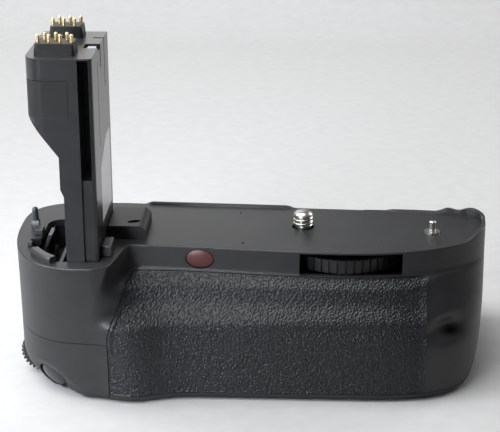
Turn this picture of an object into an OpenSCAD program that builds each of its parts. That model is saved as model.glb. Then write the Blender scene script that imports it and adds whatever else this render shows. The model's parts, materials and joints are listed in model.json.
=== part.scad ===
// Camera battery grip: a moulded body with a contact stalk, a knurled attachment wheel that
// drives the camera screw through an internal gear, a vertical-hold control end and a
// rear-loading magazine for two battery packs.
// Frame: X along the body, the front is -Y, +Z up. The origin is the mouth of the tripod
// socket in the base, which lies under the attachment screw.

/* [Body] */
// Left end of the body, measured from the screw axis
body_left = 91.3; // [88:0.1:94]
// Length of the right end beyond the magazine door
end_w = 19.7; // [15:0.1:22]
// Height of the deck that carries the camera
deck_z = 47; // [45:0.5:50]
// Thickness of the deck
deck_t = 2.2; // [1.6:0.1:2.6]
// Wall of the moulded shells
wall = 1.6; // [1.2:0.1:2]
// Thickness of the bottom cover
base_t = 2.5; // [2:0.1:3]
// Gap at the seams between shells
seam = 0.1; // [0.05:0.05:0.2]
// Front depth of the swell at the deck
swell_depth = 39.5; // [38.5:0.1:41]
// Front depth of the swell at the base
swell_low = 32.5; // [31.5:0.1:33.5]
// Position of the middle of the swell
swell_x = -67; // [-69:0.5:-66]
// Greatest front depth of the deck edge
deck_front = 23.1; // [22.5:0.1:24]
// Front depth of the deck edge beside the swell
deck_notch = 18.3; // [17:0.1:19.5]
// Position of the deepest point of the deck edge
belly_x = 13.5; // [10:0.5:16]
// Front depth of the grip below the finger groove
grip_depth = 31.3; // [30:0.1:32.5]
// Rear depth of the deck at its right end
deck_rear = 16.8; // [16.5:0.1:19]
// Growth of the deck's rear depth towards the stalk
rear_flare = 4.2; // [2:0.1:5]
// Height of the lip along the rear of the deck
lip_h = 0.9; // [0.5:0.1:1.5]
// Height of the rim round the right end of the deck
rim_h = 1.7; // [1.2:0.1:3]
// Radius of the bottom edge
edge_r = 2.4; // [1.5:0.1:2.4]

/* [Finger groove] */
// Height of the front strip above the shelf
strip_h = 7.1; // [6.5:0.1:7.6]
// Height over which the shelf slopes out
shelf_run = 4.6; // [4:0.1:6]
// Share of the grip depth that the shelf takes
shelf_share = 0.3; // [0.2:0.01:0.4]
// Share of the grip depth that the groove between shelf and ridge takes
groove_share = 0.32; // [0.25:0.01:0.4]
// Height of the ridge at the right end
ridge_low = 25; // [23.5:0.1:26]
// Rise of the ridge towards the swell
ridge_rise = 3.5; // [2:0.1:4.5]
// Height over which the ridge slopes out
ridge_run = 7; // [5.5:0.1:8]
// Depth of the hollow under the ridge
under_d = 0.7; // [0.3:0.1:1]
// Depth of the scoop where the hollow ends
scoop_depth = 4.2; // [2:0.1:4.4]

/* [Front rubber] */
// Thickness of the rubber
rubber_t = 1; // [0.8:0.1:1.2]
// Drop of the rubber's top edge below the deck
rubber_drop = 8.1; // [8:0.1:9]
// Left edge of the rubber near the base
rubber_left = -60; // [-60.5:0.1:-59]
// Length of the right end beyond the rubber
rubber_end = 20.4; // [17:0.1:21]

/* [Stalk] */
// Height of the stalk above the base
stalk_top = 110; // [104:0.5:116]
// Right face of the stalk
stalk_right = -61.8; // [-62.2:0.1:-61.6]
// Width of the stalk's head
stalk_w = 20; // [19:0.1:20.5]
// Width of the stalk at its waist
waist_w = 10.8; // [10:0.1:11]
// Front face of the stalk
stalk_front = -33.2; // [-33.6:0.1:-32]
// Depth of the stalk
stalk_d = 36; // [35:0.1:37]
// Radius of the head's front edge
stalk_r = 5; // [3:0.5:7]
// Width of the open channel in the front face
channel_w = 4.4; // [3.5:0.1:4.6]
// Depth of the open channel
channel_d = 12; // [8:0.5:15]
// Radius of a contact pin
contact_r = 0.55; // [0.45:0.05:0.65]
// Spacing of the contact pins
contact_pitch = 3.3; // [3:0.05:3.5]
// Height of the contact blocks
contact_block_h = 3.6; // [3:0.1:4.5]
// Height of the contact pins above their block
contact_proud = 2.4; // [1.8:0.1:3]
// Travel of the sprung contact pins
contact_travel = 1.4; // [0.8:0.1:1.6]

/* [Attachment wheel] */
// Outer radius of the knurled wheel
wheel_r = 19.7; // [19.4:0.1:20.5]
// Thickness of the wheel
wheel_t = 4.3; // [3.8:0.1:4.5]
// Number of grooves round the wheel
knurls = 48; // [36:1:60]
// Depth of the knurl grooves
knurl_d = 0.6; // [0.3:0.1:0.7]
// Sideways offset of the wheel axle from the screw
wheel_x = 13.4; // [12.9:0.05:13.6]
// Module of the screw drive gears
gear_m = 0.7; // [0.69:0.005:0.705]
// Radius of the camera screw thread
screw_r = 3.175; // [3:0.025:3.25]
// Height of the camera screw above the deck
screw_proud = 5.3; // [4:0.1:6]
// Radius of the wheel axle
axle_r = 3; // [2.5:0.1:3.5]

/* [Deck fittings] */
// Position of the locating pin
pin_x = 41.3; // [40:0.1:43]
// Front offset of the locating pin
pin_y = -3.8; // [-5:0.1:-2]
// Radius of the locating pin
pin_r = 1.05; // [0.9:0.05:1.25]
// Height of the locating pin above the deck
pin_h = 3.9; // [3:0.1:4.5]
// Radius of the locating pin's flange
pin_flange_r = 2.5; // [2:0.1:3]
// Middle of the infrared window
window_x = -32.2; // [-36:0.1:-28]
// Width of the infrared window
window_w = 9; // [8:0.1:10]
// Height of the infrared window
window_h = 6.5; // [5.5:0.1:6.6]

/* [Magazine] */
// Width of a battery pack
cell_w = 38.4; // [34:0.1:43]
// Length of a battery pack
cell_l = 56; // [50:0.1:62]
// Thickness of a battery pack
cell_h = 21; // [20:0.1:21.5]
// Wall of the magazine tray and of its bay
tray_t = 1; // [0.8:0.1:1.2]
// Clearance round the sliding tray
slide_gap = 0.35; // [0.3:0.05:0.45]
// Left side of the magazine bay
bay_left = -55.45; // [-55.8:0.05:-54]
// Front side of the magazine bay
bay_front = -19.55; // [-19.7:0.05:-18]
// Width of the lock end of the door beside the bay
lock_w = 11.95; // [11.5:0.05:13]
// Radius of the lock knob
knob_r = 7.4; // [6.5:0.1:7.6]
// Reach of the lock bolt
bolt_l = 10.2; // [9.5:0.1:10.4]

/* [Controls] */
// Radius of the shutter button
shutter_r = 5.3; // [4.5:0.1:5.8]
// Travel of the shutter button
shutter_travel = 0.9; // [0.6:0.1:1.2]
// Radius of the control dial
dial_r = 7.2; // [6.6:0.1:7.4]
// Thickness of the control dial
dial_t = 6; // [5:0.1:6.5]
// Number of ribs on the control dial
dial_ribs = 30; // [20:1:40]
// Radius of the rear buttons
key_r = 2.8; // [2.4:0.1:2.9]
// Travel of the rear buttons
key_travel = 0.9; // [0.5:0.1:1]
// Height of the seam of the control cap
cap_z = 20; // [19.5:0.1:20.5]

/* [Base] */
// Radius of the tripod socket's bore
socket_r = 2.6; // [2.5:0.05:3.2]
// Outer radius of the tripod socket
socket_flange_r = 6; // [5:0.1:7]
// Height of the tripod socket
socket_h = 5; // [4.6:0.1:5.4]
// Head radius of the base screws
head_r = 2.3; // [2:0.1:2.6]

/* [Hidden] */
$fn = 48;
big = 200;
fit = 0.1;
run_fit = 0.05;
press_gap = 0.02;
plastic = "#2b2b2d";
dark_plastic = "#1c1c1e";
rubber_colour = "#232428";
steel = "#c9c9c6";
gold = "#d8a94a";

// Magazine and its bay. The rear and the right end of the body follow them.
bay_z = socket_h + fit;
tray_w = 2 * cell_w + 3 * tray_t + 4 * fit;
tray_h = cell_h + tray_t + 2 * fit;
bay_w = tray_w + 2 * slide_gap + 2 * tray_t;
bay_h = tray_h + 2 * slide_gap + 2 * tray_t;
bay_x = bay_left + bay_w / 2;
tray_z = bay_z + tray_t + slide_gap;
tray_front = bay_front + tray_t + slide_gap;
cell_front = tray_front + tray_t + fit;
door_t = 3.6;
door_edge = 0.6;
door_in = cell_front + cell_l + fit;
bay_rear = door_in - slide_gap;
door_left = bay_left - door_edge;
door_right = bay_left + bay_w + lock_w;
door_z0 = bay_z - door_edge;
door_z1 = bay_z + bay_h + door_edge;
body_rear = door_in + door_t;
body_right = door_right + end_w;
rubber_right = body_right - rubber_end;
chassis_z = bay_z + bay_h + fit;
chassis_t = 1.5;
chassis_top = chassis_z + chassis_t;

// Heights that follow the deck
rubber_top = deck_z - rubber_drop;
shelf_z = deck_z - strip_h;

// Shaping functions
function clamp(v, lo, hi) = min(max(v, lo), hi);
function ease(t) = let(s = clamp(t, 0, 1)) s * s * (3 - 2 * s);
function lerp(a, b, t) = a + (b - a) * t;
function swept(s, n) = pow(max(1 - pow(clamp(s, 0, 1), n), 0), 1 / n);
function bell(x, z, cx, cz, rx, rz) = exp(-pow((x - cx) / rx, 2) - pow((z - cz) / rz, 2));

// Ends of the body at height z: the left end is rounded under, the right end tucks in
tip_w = 1.1;
corner_x = body_left + swell_x - edge_r - tip_w;
corner_z = 11;
tuck_x = 5.1;
tuck_z = 42;
tuck_n = 2.2;
end_flat = 0.4;
right_y = 5;
function left_end(z) = -body_left + corner_x * (1 - swept((corner_z - z) / corner_z, 2));
function right_end(z) = body_right - tuck_x * (1 - swept((tuck_z - z) / tuck_z, tuck_n));

// Front outline: the deck edge above, the grip below, and the share of the grip at height z
flare_n = 1.6;
step_mid = -57.2;
step_w = 1.3;
step_grow = 0.45;
step_share = 0.78;
round_x = -61.5;
round_w = 7;
sweep_w = 67;
flank_x = -60;
flank_w = 18;
bulge = 3.4;
bulge_x = -54;
bulge_w = 6;
ridge_x = 25;
ridge_w = 22;
under_x = -20;
under_w = 40;
under_drop = 4.2;
under_h = 2.2;
fade_x = 32;
fade_w = 14;
shelf_end = 0.5;
shelf_tight = 2;
scoop_in = 13.6;
scoop_x = body_right - scoop_in;
scoop_rx = 5.4;
scoop_rz = 3;
scoop_drop = 1.6;
function deck_edge(x) = let(t = clamp((belly_x - x) / sweep_w, 0, 1))
    lerp(deck_front, deck_notch, (1 - cos(180 * t)) / 2);
function swell(z) = lerp(swell_low, swell_depth, pow(clamp(z / deck_z, 0, 1), flare_n));
function step_half(z) = step_w + step_grow * max(deck_z - z, 0);
function step_part(x, z) = step_share * ease((x - step_mid) / step_half(z) / 2 + 0.5)
    + (1 - step_share) * ease((x - round_x) / round_w);
function upper_front(x, z) = lerp(swell(z), deck_edge(x), step_part(x, z));
function lower_front(x, z) = lerp(swell(z), grip_depth, ease((x - flank_x) / flank_w))
    + bulge * exp(-pow((x - bulge_x) / bulge_w, 2));
function ridge_z(x) = ridge_low + ridge_rise * (1 - ease((x - ridge_x) / ridge_w));
function ridge_left(x) = 1 - ease((x - fade_x) / fade_w);
function shelf_part(x) = shelf_share * lerp(shelf_end, 1, ridge_left(x));
function ridge_part(x) = (1 - shelf_share - groove_share) * ridge_left(x);
function grip_share(x, z) = let(drop = shelf_z - z, foot = shelf_z - ridge_z(x) + ridge_run / 2)
    shelf_part(x) * ease(drop / lerp(shelf_tight, shelf_run, ridge_left(x)))
    + ridge_part(x) * ease((ridge_z(x) - z) / ridge_run + 0.5)
    + (1 - shelf_part(x) - ridge_part(x)) * ease(drop / foot);
function scoop(x, z) = scoop_depth * bell(x, z, scoop_x, ridge_z(scoop_x) - scoop_drop, scoop_rx, scoop_rz)
    + under_d * ease((x - under_x) / under_w) * exp(-pow((z - ridge_z(x) + under_drop) / under_h, 2));
front_n = 2.24;
front_low_n = 3.35;
function right_front_n(z) = lerp(front_n, front_low_n, ease((deck_z - z) / tuck_z));
function left_share(x, z, n, d) = swept((swell_x - x) / (swell_x - left_end(z) - d), n);
function right_share(x, z, n, d) = swept((x - belly_x) / (right_end(z) - d - belly_x), n);
left_front_n = 2.4;
function front_depth(x, z) = lerp(upper_front(x, z), lower_front(x, z), grip_share(x, z))
    - scoop(x, z);
function front_y(x, z, d) = let(y = d - front_depth(x, z), n = right_front_n(z))
    x < swell_x ? min(y * left_share(x, z, left_front_n, d), -end_flat)
    : x > belly_x ? min(right_y + (y - right_y) * right_share(x, z, n, d), right_y - end_flat)
    : y;

// Rear outline: the deck edge, then a slope out to the magazine door
slope_run = 14;
left_rear_n = 3;
right_rear_low_n = 7;
function right_rear_n(z) = lerp(left_rear_n, right_rear_low_n, ease((deck_z - z) / slope_run));
rear_x = 20;
rear_w = 80;
function deck_back(x) = deck_rear + rear_flare * clamp((rear_x - x) / rear_w, 0, 1);
function rear_y(x, z, d) = let(y = lerp(deck_back(x), body_rear, ease((deck_z - z) / slope_run)) - d)
    x < swell_x ? max(y * left_share(x, z, left_rear_n, d), end_flat)
    : x > belly_x ? max(right_y + (y - right_y) * right_share(x, z, right_rear_n(z), d), right_y + end_flat)
    : y;

// Columns of the body's surface, from the left end to the right end. The rubber's window lies
// between the columns of its two edges.
n_left = 7;
n_swell = 18;
n_grip = 20;
n_right = 8;
last_col = n_left + n_swell + n_grip + n_right;
first_in = n_left + n_swell;
last_in = first_in + n_grip - 1;
edge_half = 0.1;
bunching = 0.4;
edge_lean = 5.4;
edge_run = 18;
corner_r = 2.4;
function corner_rise(z) = clamp((z - rubber_top) / corner_r + 1, 0, 1);
function rubber_edge(z) = rubber_left + edge_lean * ease((z - rubber_top) / edge_run + 1)
    + corner_r * (1 - sqrt(1 - pow(corner_rise(z), 2)));
function column_x(i, z, d) =
    i < n_left ? swell_x - (swell_x - left_end(z) - d) * cos(90 * i / n_left)
    : i < first_in ? lerp(swell_x, rubber_edge(z) - edge_half, (i - n_left) / (n_swell - 1))
    : i <= last_in ? let(t = (i - first_in) / (n_grip - 1))
        lerp(rubber_edge(z) + edge_half, rubber_right - edge_half, lerp(t, t * t, bunching))
    : let(x = rubber_right + edge_half) x + (right_end(z) - d - x) * sin(90 * (i - last_in - 1) / n_right);
function in_window(i, z) = i >= first_in && i <= last_in && z < rubber_top;
function edge_inset(z) = z < edge_r ? edge_r * (1 - sqrt(1 - pow(1 - z / edge_r, 2))) : 0;

// A ring of the body at height z over columns a to b: along the front, then back along the rear
function ring(z, d, cut, a, b) = let(e = d + edge_inset(z)) concat(
    [for (i = [a:b]) let(x = column_x(i, z, e)) [x, front_y(x, z, e) + (in_window(i, z) ? cut : 0), z]],
    [for (i = [b:-1:a]) let(x = column_x(i, z, e)) [x, rear_y(x, z, e), z]]);
function inner_ring(z) = let(d = wall) concat(
    [for (i = [0:last_col]) let(x = column_x(i, z, d)) [x, front_y(x, z, d) + rubber_t, z]],
    [for (i = [last_col:-1:0]) let(x = column_x(i, z, d), y = front_y(x, z, d) + rubber_t + end_flat)
        [x, max(rear_y(x, z, d), y), z]]);

// A closed solid through rings of the same count
module loft(rings) {
    m = len(rings[0]);
    top = (len(rings) - 1) * m;
    sides = [for (j = [0:len(rings) - 2], k = [0:m - 1]) let(a = j * m + k, b = j * m + (k + 1) % m)
        each k < m / 2 ? [[a, a + m, b + m], [a, b + m, b]] : [[a, a + m, b], [b, a + m, b + m]]];
    floor_faces = [for (i = [0:m / 2 - 2]) each [[i, i + 1, m - 2 - i], [i, m - 2 - i, m - 1 - i]]];
    roof_faces = [for (f = floor_faces) [top + f[2], top + f[1], top + f[0]]];
    polyhedron([for (r = rings) each r], concat(sides, floor_faces, roof_faces));
}

// Lip along the rear of the deck and rim round its right end
lip_t = 1.3;
lip_from = -53.5;
lip_to = -2.4;
lip_ramp = 3;
lip_mid = 20;
lip_again = 27;
lip_share = 0.6;
rim_in = 11;
rim_x = body_right - rim_in;
rim_wave = 0.3;
rim_pitch = 8;
rim_run = 5;
front_rim_x = 7;
front_rim_run = 6;
lip_low = 0.15;
rim_edge = 0.2;
function rim_share(x) = ease((x - rim_x) / rim_run + 1);
function wave(x) = rim_wave * cos(360 * (x - rim_x) / rim_pitch);
function lip(x) = x < lip_mid ? lip_h * ease((x - lip_from) / lip_ramp) * ease((lip_to - x) / lip_ramp)
    : let(low = lerp(lip_low, lip_share * lip_h, ease((x - lip_again) / lip_ramp)))
        lerp(low, rim_h + wave(x), rim_share(x));
function front_rim(x) = rim_h * ease((x - body_right + front_rim_x) / front_rim_run);
function top_ring(d, raised) = let(n = last_col) concat(
    [for (i = [0:n]) let(x = column_x(i, deck_z, d))
        [x, front_y(x, deck_z, d), deck_z + (raised ? front_rim(column_x(i, deck_z, 0)) : 0)]],
    [for (i = [n:-1:0]) let(x = column_x(i, deck_z, d))
        [x, rear_y(x, deck_z, d), deck_z + (raised ? lip(column_x(i, deck_z, 0)) : 0)]]);

// Levels of the rings
low_steps = 18;
top_steps = 3;
inner_steps = 9;
top_step = 1.5;
deck_edge_h = 0.4;
low_levels = [for (k = [0:low_steps]) lerp(base_t + seam, rubber_top - top_step, k / low_steps)];
high_levels = [for (k = [0:top_steps]) lerp(rubber_top + edge_half, deck_z - deck_edge_h, k / top_steps)];
housing_levels = concat(low_levels, [rubber_top - edge_half], high_levels);
inner_levels = [for (k = [0:inner_steps]) lerp(base_t, deck_z - deck_t, k / inner_steps)];
foot_levels = [0, 0.2 * edge_r, 0.5 * edge_r];
cap_steps = 6;
cap_levels = [for (k = [0:cap_steps]) lerp(edge_r, cap_z, k / cap_steps)];
cap_inner_steps = 4;
cap_inner = [for (k = [0:cap_inner_steps]) lerp(base_t, cap_z + 1, k / cap_inner_steps)];

// Attachment wheel and its gear
ring_teeth = 50;
pinion_teeth = 11;
gear_c = gear_m * (ring_teeth - pinion_teeth) / 2;
wheel_y = -sqrt(gear_c * gear_c - wheel_x * wheel_x);
wheel_gap = 0.8;
wheel_z = deck_z - deck_t - wheel_gap - wheel_t;
wheel_floor = 1.2;
mesh_angle = atan2(-wheel_y, -wheel_x);
press_angle = 25;
backlash = 0.16;
gear_lift = 0.3;
gear_proud = 0.2;
gear_z = wheel_z + wheel_floor + gear_lift;
gear_h = wheel_t - wheel_floor - gear_lift + gear_proud;
shank_r = 2.2;
collar_r = 4.4;
collar_t = 0.3;
tip_h = 0.6;
slot_y = 10;
slot_x0 = -1;
slot_x1 = 31;
slot_drop = 0.5;
slot_roof = 1.6;
slot_top = deck_z - slot_roof;

function involute(a) = tan(a) * 180 / PI - a;
function half_tooth(r, pitch_r, base_r, teeth, slack) = 90 / teeth - slack / pitch_r * 90 / PI
    + involute(press_angle) - involute(acos(min(base_r / r, 1)));
function at(r, a) = [r * cos(a), r * sin(a)];

// Outline of a gear with tip radius tip, root radius root and the slack taken off each tooth
module gear_2d(teeth, tip, root, slack) {
    pitch_r = gear_m * teeth / 2;
    base_r = pitch_r * cos(press_angle);
    steps = 4;
    low = max(root, base_r);
    flank = [for (k = [0:steps]) let(r = lerp(low, tip, k / steps))
        [r, half_tooth(r, pitch_r, base_r, teeth, slack)]];
    polygon([for (t = [0:teeth - 1]) let(a = 360 * t / teeth) each concat(
        [at(root, a - flank[0][1] - 0.01)],
        [for (k = [0:steps]) at(flank[k][0], a - flank[k][1])],
        [for (k = [steps:-1:0]) at(flank[k][0], a + flank[k][1])],
        [at(root, a + flank[0][1] + 0.01)])]);
}

// Knurled outline with grooves between flat-topped ribs
module knurl_2d(r, depth, count, rib) {
    pitch = 360 / count;
    polygon([for (k = [0:count - 1]) let(a = k * pitch) each [
        at(r, a - rib * pitch / 2), at(r, a + rib * pitch / 2),
        at(r - depth, a + pitch / 2 - 0.12 * pitch), at(r - depth, a + pitch / 2 + 0.12 * pitch)]]);
}

// Facet of the control cap that carries the shutter button: its normal leans out by facet_tilt
// from straight up and turns by facet_turn round Z
facet_at = [-79, -25, 4.65];
facet_tilt = 119.7;
facet_turn = 232;
facet_t = 2.4;
module on_facet(h) translate(facet_at) rotate([0, facet_tilt, facet_turn]) translate([0, 0, h]) children();
module outside_facet(h) on_facet(h) translate([-big / 2, -big / 2, 0]) cube([big, big, big]);

// Control dial, rear keys and the switch
dial_at = [-84, -10.5, 7.8];
dial_gap = 0.5;
shutter_gap = 0.35;
key_gap = 0.3;
dial_axle_r = 1.2;
dial_rib_d = 0.7;
dial_rib = 0.45;
key_z = 12;
key_xs = [-78.2, -71.7, -65.2];
key_flange = 0.3;
key_proud = 0.7;
key_flange_t = 1;
key_edge = 0.5;
key_board_in = 14.1;
key_board_y = body_rear - key_board_in;
key_board_t = 1.2;
key_switch_t = 1.6;
key_base = key_board_y + key_board_t + key_switch_t + key_travel + fit;
switch_at = [-66, 27];
switch_r = 1.5;
switch_gap = 0.2;
screw_gap = 0.4;
stalk_gap = 0.3;
window_drop = 4.1;
window_z = deck_z - window_drop;
window_t = 1.6;
window_in = 0.3;
cap_edge = first_in - 1;
cap_last = rubber_left - edge_half;

// Stalk heights
stalk_left = stalk_right - stalk_w;
waist_left = stalk_right - waist_w;
head_h = 17.7;
slant_h = 12.3;
waist_h = 10;
foot_z = chassis_top + fit;
foot_w = waist_w - 1;
foot_run = 2.5;
channel_right = stalk_right - 1.3;
channel_end = stalk_top - 37.5;
channel_shallow = 0.9;
tenon_step = 4;
notch_y = 14;
notch_w = 1.2;
notch_d = 2.2;
notch_h = 7;
step_d = 6;
step_h = 1.2;
top_step_w = 5;
line_y = 10;
line_d = 0.5;
line_z0 = 4;
line_z1 = 30;

// Battery door pocket beside the stalk
pocket_edge = 3.5;
pocket_gap = 1.3;
pocket_right = waist_left - pocket_gap;
pocket_rear = 4;
pocket_t = 0.9;
pocket_z = 37;

// Screw positions in the base
screw_left = -45;
screw_front = -20;
screw_end = 28;
screw_rear = 10.6;
screw_xy = [for (x = [screw_left, body_right - screw_end], y = [screw_front, body_rear - screw_rear]) [x, y]];
base_screw_r = 1.1;
head_t = 0.8;
head_sink = 0.3;
boss_t = 1;

// The half-oval mouth of the pocket, drawn in by d, and at the front by draw as well
module pocket_2d(d, draw = 0) {
    intersection() {
        polygon([for (a = [90:6:270])
            [swell_x + (body_left + swell_x - pocket_edge - d) * cos(a),
            (swell_depth - pocket_edge - draw - d) * sin(a)]]);
        translate([swell_x - big, -big + pocket_rear - d]) square([pocket_right - swell_x + big - d, big]);
    }
}

// An upright slot shape with round ends, along Y
module oval_y(w, h, len) {
    rotate([90, 0, 0]) linear_extrude(len, center = true) {
        square([w - h, h], center = true);
        for (s = [-1, 1]) translate([s * (w - h) / 2, 0]) circle(h / 2);
    }
}

module rod_y(r, len) rotate([-90, 0, 0]) cylinder(r = r, h = len);

module main_housing() color(plastic) difference() {
    loft(concat([for (z = housing_levels) ring(z, 0, rubber_t + fit, 0, last_col)],
        [top_ring(rim_edge, true), top_ring(lip_t, true), top_ring(lip_t + rim_edge, false)]));
    loft([for (z = inner_levels) inner_ring(z)]);
    translate([-big, -big / 2, -1]) cube([big + cap_last + 2 * edge_half, big, cap_z + seam + 1]);
    translate([slot_x0, -big, wheel_z - slot_drop])
        cube([slot_x1 - slot_x0, big - slot_y, slot_top - wheel_z + slot_drop]);
    translate([0, 0, deck_z - big / 2]) cylinder(r = screw_r + screw_gap, h = big);
    translate([pin_x, pin_y, deck_z - big / 2]) cylinder(r = pin_r + run_fit, h = big);
    translate([waist_left - stalk_gap, stalk_front - stalk_gap, deck_z - deck_t - 1])
        cube([waist_w + 2 * stalk_gap, stalk_d + 2 * stalk_gap, big]);
    translate([0, 0, deck_z - deck_t - 1]) linear_extrude(big) pocket_2d(0);
    translate([window_x, front_y(window_x, window_z, 0), window_z])
        oval_y(window_w, window_h, 3 * wall + rubber_t);
    translate([door_left - slide_gap, door_in, door_z0 - slide_gap])
        cube([door_right - door_left + 2 * slide_gap, big, door_z1 - door_z0 + 2 * slide_gap]);
    translate([switch_at[0], body_rear - 3 * wall, switch_at[1]]) rod_y(switch_r + run_fit, big);
}

module control_cap() color(plastic) difference() {
    loft([for (z = concat(foot_levels, cap_levels)) ring(z, 0, 0, 0, cap_edge)]);
    difference() {
        intersection() {
            loft([for (z = cap_inner) ring(z, wall, 0, 0, cap_edge)]);
            translate([-big + cap_last - wall, -big / 2, 0]) cube([big, big, big]);
        }
        outside_facet(-facet_t);
    }
    outside_facet(0);
    on_facet(-2 * facet_t) cylinder(r = shutter_r + shutter_gap, h = 4 * facet_t);
    translate([dial_at[0] - big, dial_at[1] - dial_t / 2 - dial_gap, dial_at[2] - dial_r - 2 * dial_gap])
        cube([big, dial_t + 2 * dial_gap, 2 * dial_r + 4 * dial_gap]);
    translate(dial_at) rotate([90, 0, 0])
        cylinder(r = dial_r + dial_gap, h = dial_t + 2 * dial_gap, center = true);
    for (x = key_xs) translate([x, key_base + key_flange_t, key_z]) rod_y(key_r + key_gap, big);
}

module bottom_cover() color(plastic) difference() {
    union() {
        loft([for (z = concat(foot_levels, [base_t])) ring(z, 0, 0, first_in, last_col)]);
        for (p = screw_xy) translate([p[0], p[1], base_t / 2])
            cylinder(r = head_r + boss_t, h = socket_h - base_t / 2);
    }
    translate([0, 0, -1]) cylinder(r = socket_flange_r + fit, h = big);
    for (p = screw_xy) translate([p[0], p[1], -1]) {
        cylinder(r = head_r + fit, h = 1 + head_sink + head_t);
        cylinder(r = base_screw_r + fit, h = big);
    }
}

// The rubber is a skin that follows the front of the body inside its window
module grip_rubber() color(rubber_colour) {
    levels = concat([low_levels[0] + seam], [for (k = [1:low_steps]) low_levels[k]]);
    sheet = [for (z = levels) concat(
        [for (i = [first_in:last_in]) rubber_point(i, z, 0)],
        [for (i = [last_in:-1:first_in]) rubber_point(i, z, rubber_t)])];
    brim = concat(
        [for (i = [first_in:last_in]) rubber_brim(i, 0)],
        [for (i = [last_in:-1:first_in]) rubber_brim(i, rubber_t)]);
    loft(concat(sheet, [brim]));
}
function skin_point(i, z) = let(x = column_x(i, z, 0)) [x, front_y(x, z, 0), z];
function rubber_point(i, z, d) = let(a = skin_point(i, z),
    b = skin_point(i == first_in ? i + 1 : i == last_in ? i - 1 : i, z))
    a + [0, d, 0] + (a == b ? [0, 0, 0] : (b - a) * fit / abs(b[0] - a[0]));
function rubber_brim(i, d) = lerp(rubber_point(i, rubber_top - top_step, d),
    rubber_point(i, rubber_top - edge_half, d), 1 - edge_half / (top_step - edge_half));

// Raised block beside the stalk, with a rounded edge and a small catch slot
module filler_block() color(plastic) {
    block_w = 12;
    block_d = 18;
    block_h = 4.4;
    round_r = 2.5;
    block_y = -13.5;
    catch_at = [7.8, 4.4];
    catch_turn = 35;
    catch_l = 4.2;
    catch_w = 1.7;
    catch_d = 1.5;
    translate([stalk_right + stalk_gap, block_y, deck_z]) difference() {
        rotate([90, 0, 0]) translate([0, 0, -block_d]) linear_extrude(block_d) {
            square([block_w - round_r, block_h]);
            square([block_w, block_h - round_r]);
            intersection() {
                translate([block_w - round_r, block_h - round_r]) circle(round_r);
                square([block_w, block_h]);
            }
        }
        translate([catch_at[0], catch_at[1], block_h]) rotate([0, 0, catch_turn]) rotate([90, 0, 0])
            oval_y(catch_l, catch_w, 2 * catch_d);
    }
}

corner_y = -24;
corner_size = [2, 7, 3];
module corner_block() color(plastic) translate([stalk_right + stalk_gap, corner_y, deck_z]) cube(corner_size);

// Tray of the pocket: a flange under the deck, a wall and a floor
pocket_draw = 3;
pocket_top = deck_z - deck_t - fit;
module door_pocket() color(dark_plastic) {
    translate([0, 0, pocket_top - pocket_t]) linear_extrude(pocket_t) difference() {
        pocket_2d(-pocket_t);
        pocket_2d(0, pocket_draw);
    }
    translate([0, 0, pocket_z]) linear_extrude(pocket_top - pocket_z) difference() {
        pocket_2d(-pocket_t, pocket_draw);
        pocket_2d(0, pocket_draw);
    }
    translate([0, 0, pocket_z - pocket_t]) linear_extrude(pocket_t) pocket_2d(-pocket_t, pocket_draw);
}

// Spring clip for the stowed battery door: a foot, a leaning flap and a pointed prong
clip_x = -83.7;
clip_foot = [4, 15, 3];
clip_foot_y = -16;
clip_flap = [1.2, 7, 8.4];
clip_flap_y = -15;
clip_lean = [0.4, 0.05];
clip_prong_y = -7;
clip_prong_t = 1.4;
clip_flap_in = 0;
prong_w = 2;
prong_back = 1;
prong_h = 9.5;
prong_lean = 0.6;
prong_low = 6;
module pocket_clip() color(plastic) translate([clip_x, 0, pocket_z]) {
    translate([0, clip_foot_y, 0]) cube(clip_foot);
    translate([clip_flap_in, clip_flap_y, clip_foot[2]])
        multmatrix([[1, 0, clip_lean[0], 0], [0, 1, clip_lean[1], 0], [0, 0, 1, 0]]) cube(clip_flap);
    translate([clip_foot[0], clip_prong_y, clip_foot[2]]) rotate([90, 0, 0]) linear_extrude(clip_prong_t)
        polygon([[-prong_w, 0], [0, 0], [prong_lean, prong_h], [-prong_back, prong_low]]);
}

// Rounded bar across the front of the pocket
bar_x = -82.8;
bar_w = 8;
bar_h = 2.4;
bar_out = 2.8;
bar_in = 0.4;
bar_y = -20;
module latch_bar() color(plastic) intersection() {
    difference() {
        translate([0, 0, deck_z]) linear_extrude(bar_h) pocket_2d(-bar_out);
        translate([0, 0, deck_z - 1]) linear_extrude(bar_h + 2) pocket_2d(bar_in);
    }
    translate([bar_x, bar_y - big, 0]) cube([bar_w, big, big]);
}

// Tapered post beside the pocket, on a square foot
post_at = [-86.6, 7];
post_foot = [3.2, 3.2, 1.4];
post_rs = [1.4, 1.1, 0.8];
post_hs = [4, 6.2];
module switch_post() color(plastic) translate([post_at[0], post_at[1], deck_z]) {
    translate([-post_foot[0] / 2, -post_foot[1] / 2, 0]) cube(post_foot);
    cylinder(r1 = post_rs[0], r2 = post_rs[1], h = post_hs[0]);
    translate([0, 0, post_hs[0]]) cylinder(r1 = post_rs[1], r2 = post_rs[2], h = post_hs[1] - post_hs[0]);
    translate([0, 0, post_hs[1]]) sphere(post_rs[2]);
}

// Front outline of the stalk: a foot, a waist, a slant and the wide head
module stalk_2d() polygon([
    [stalk_right, foot_z], [stalk_right, stalk_top], [stalk_left, stalk_top],
    [stalk_left, stalk_top - head_h], [waist_left, stalk_top - head_h - slant_h],
    [waist_left, stalk_top - head_h - slant_h - waist_h],
    [stalk_right - foot_w, stalk_top - head_h - slant_h - waist_h - foot_run],
    [stalk_right - foot_w, foot_z]]);

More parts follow.
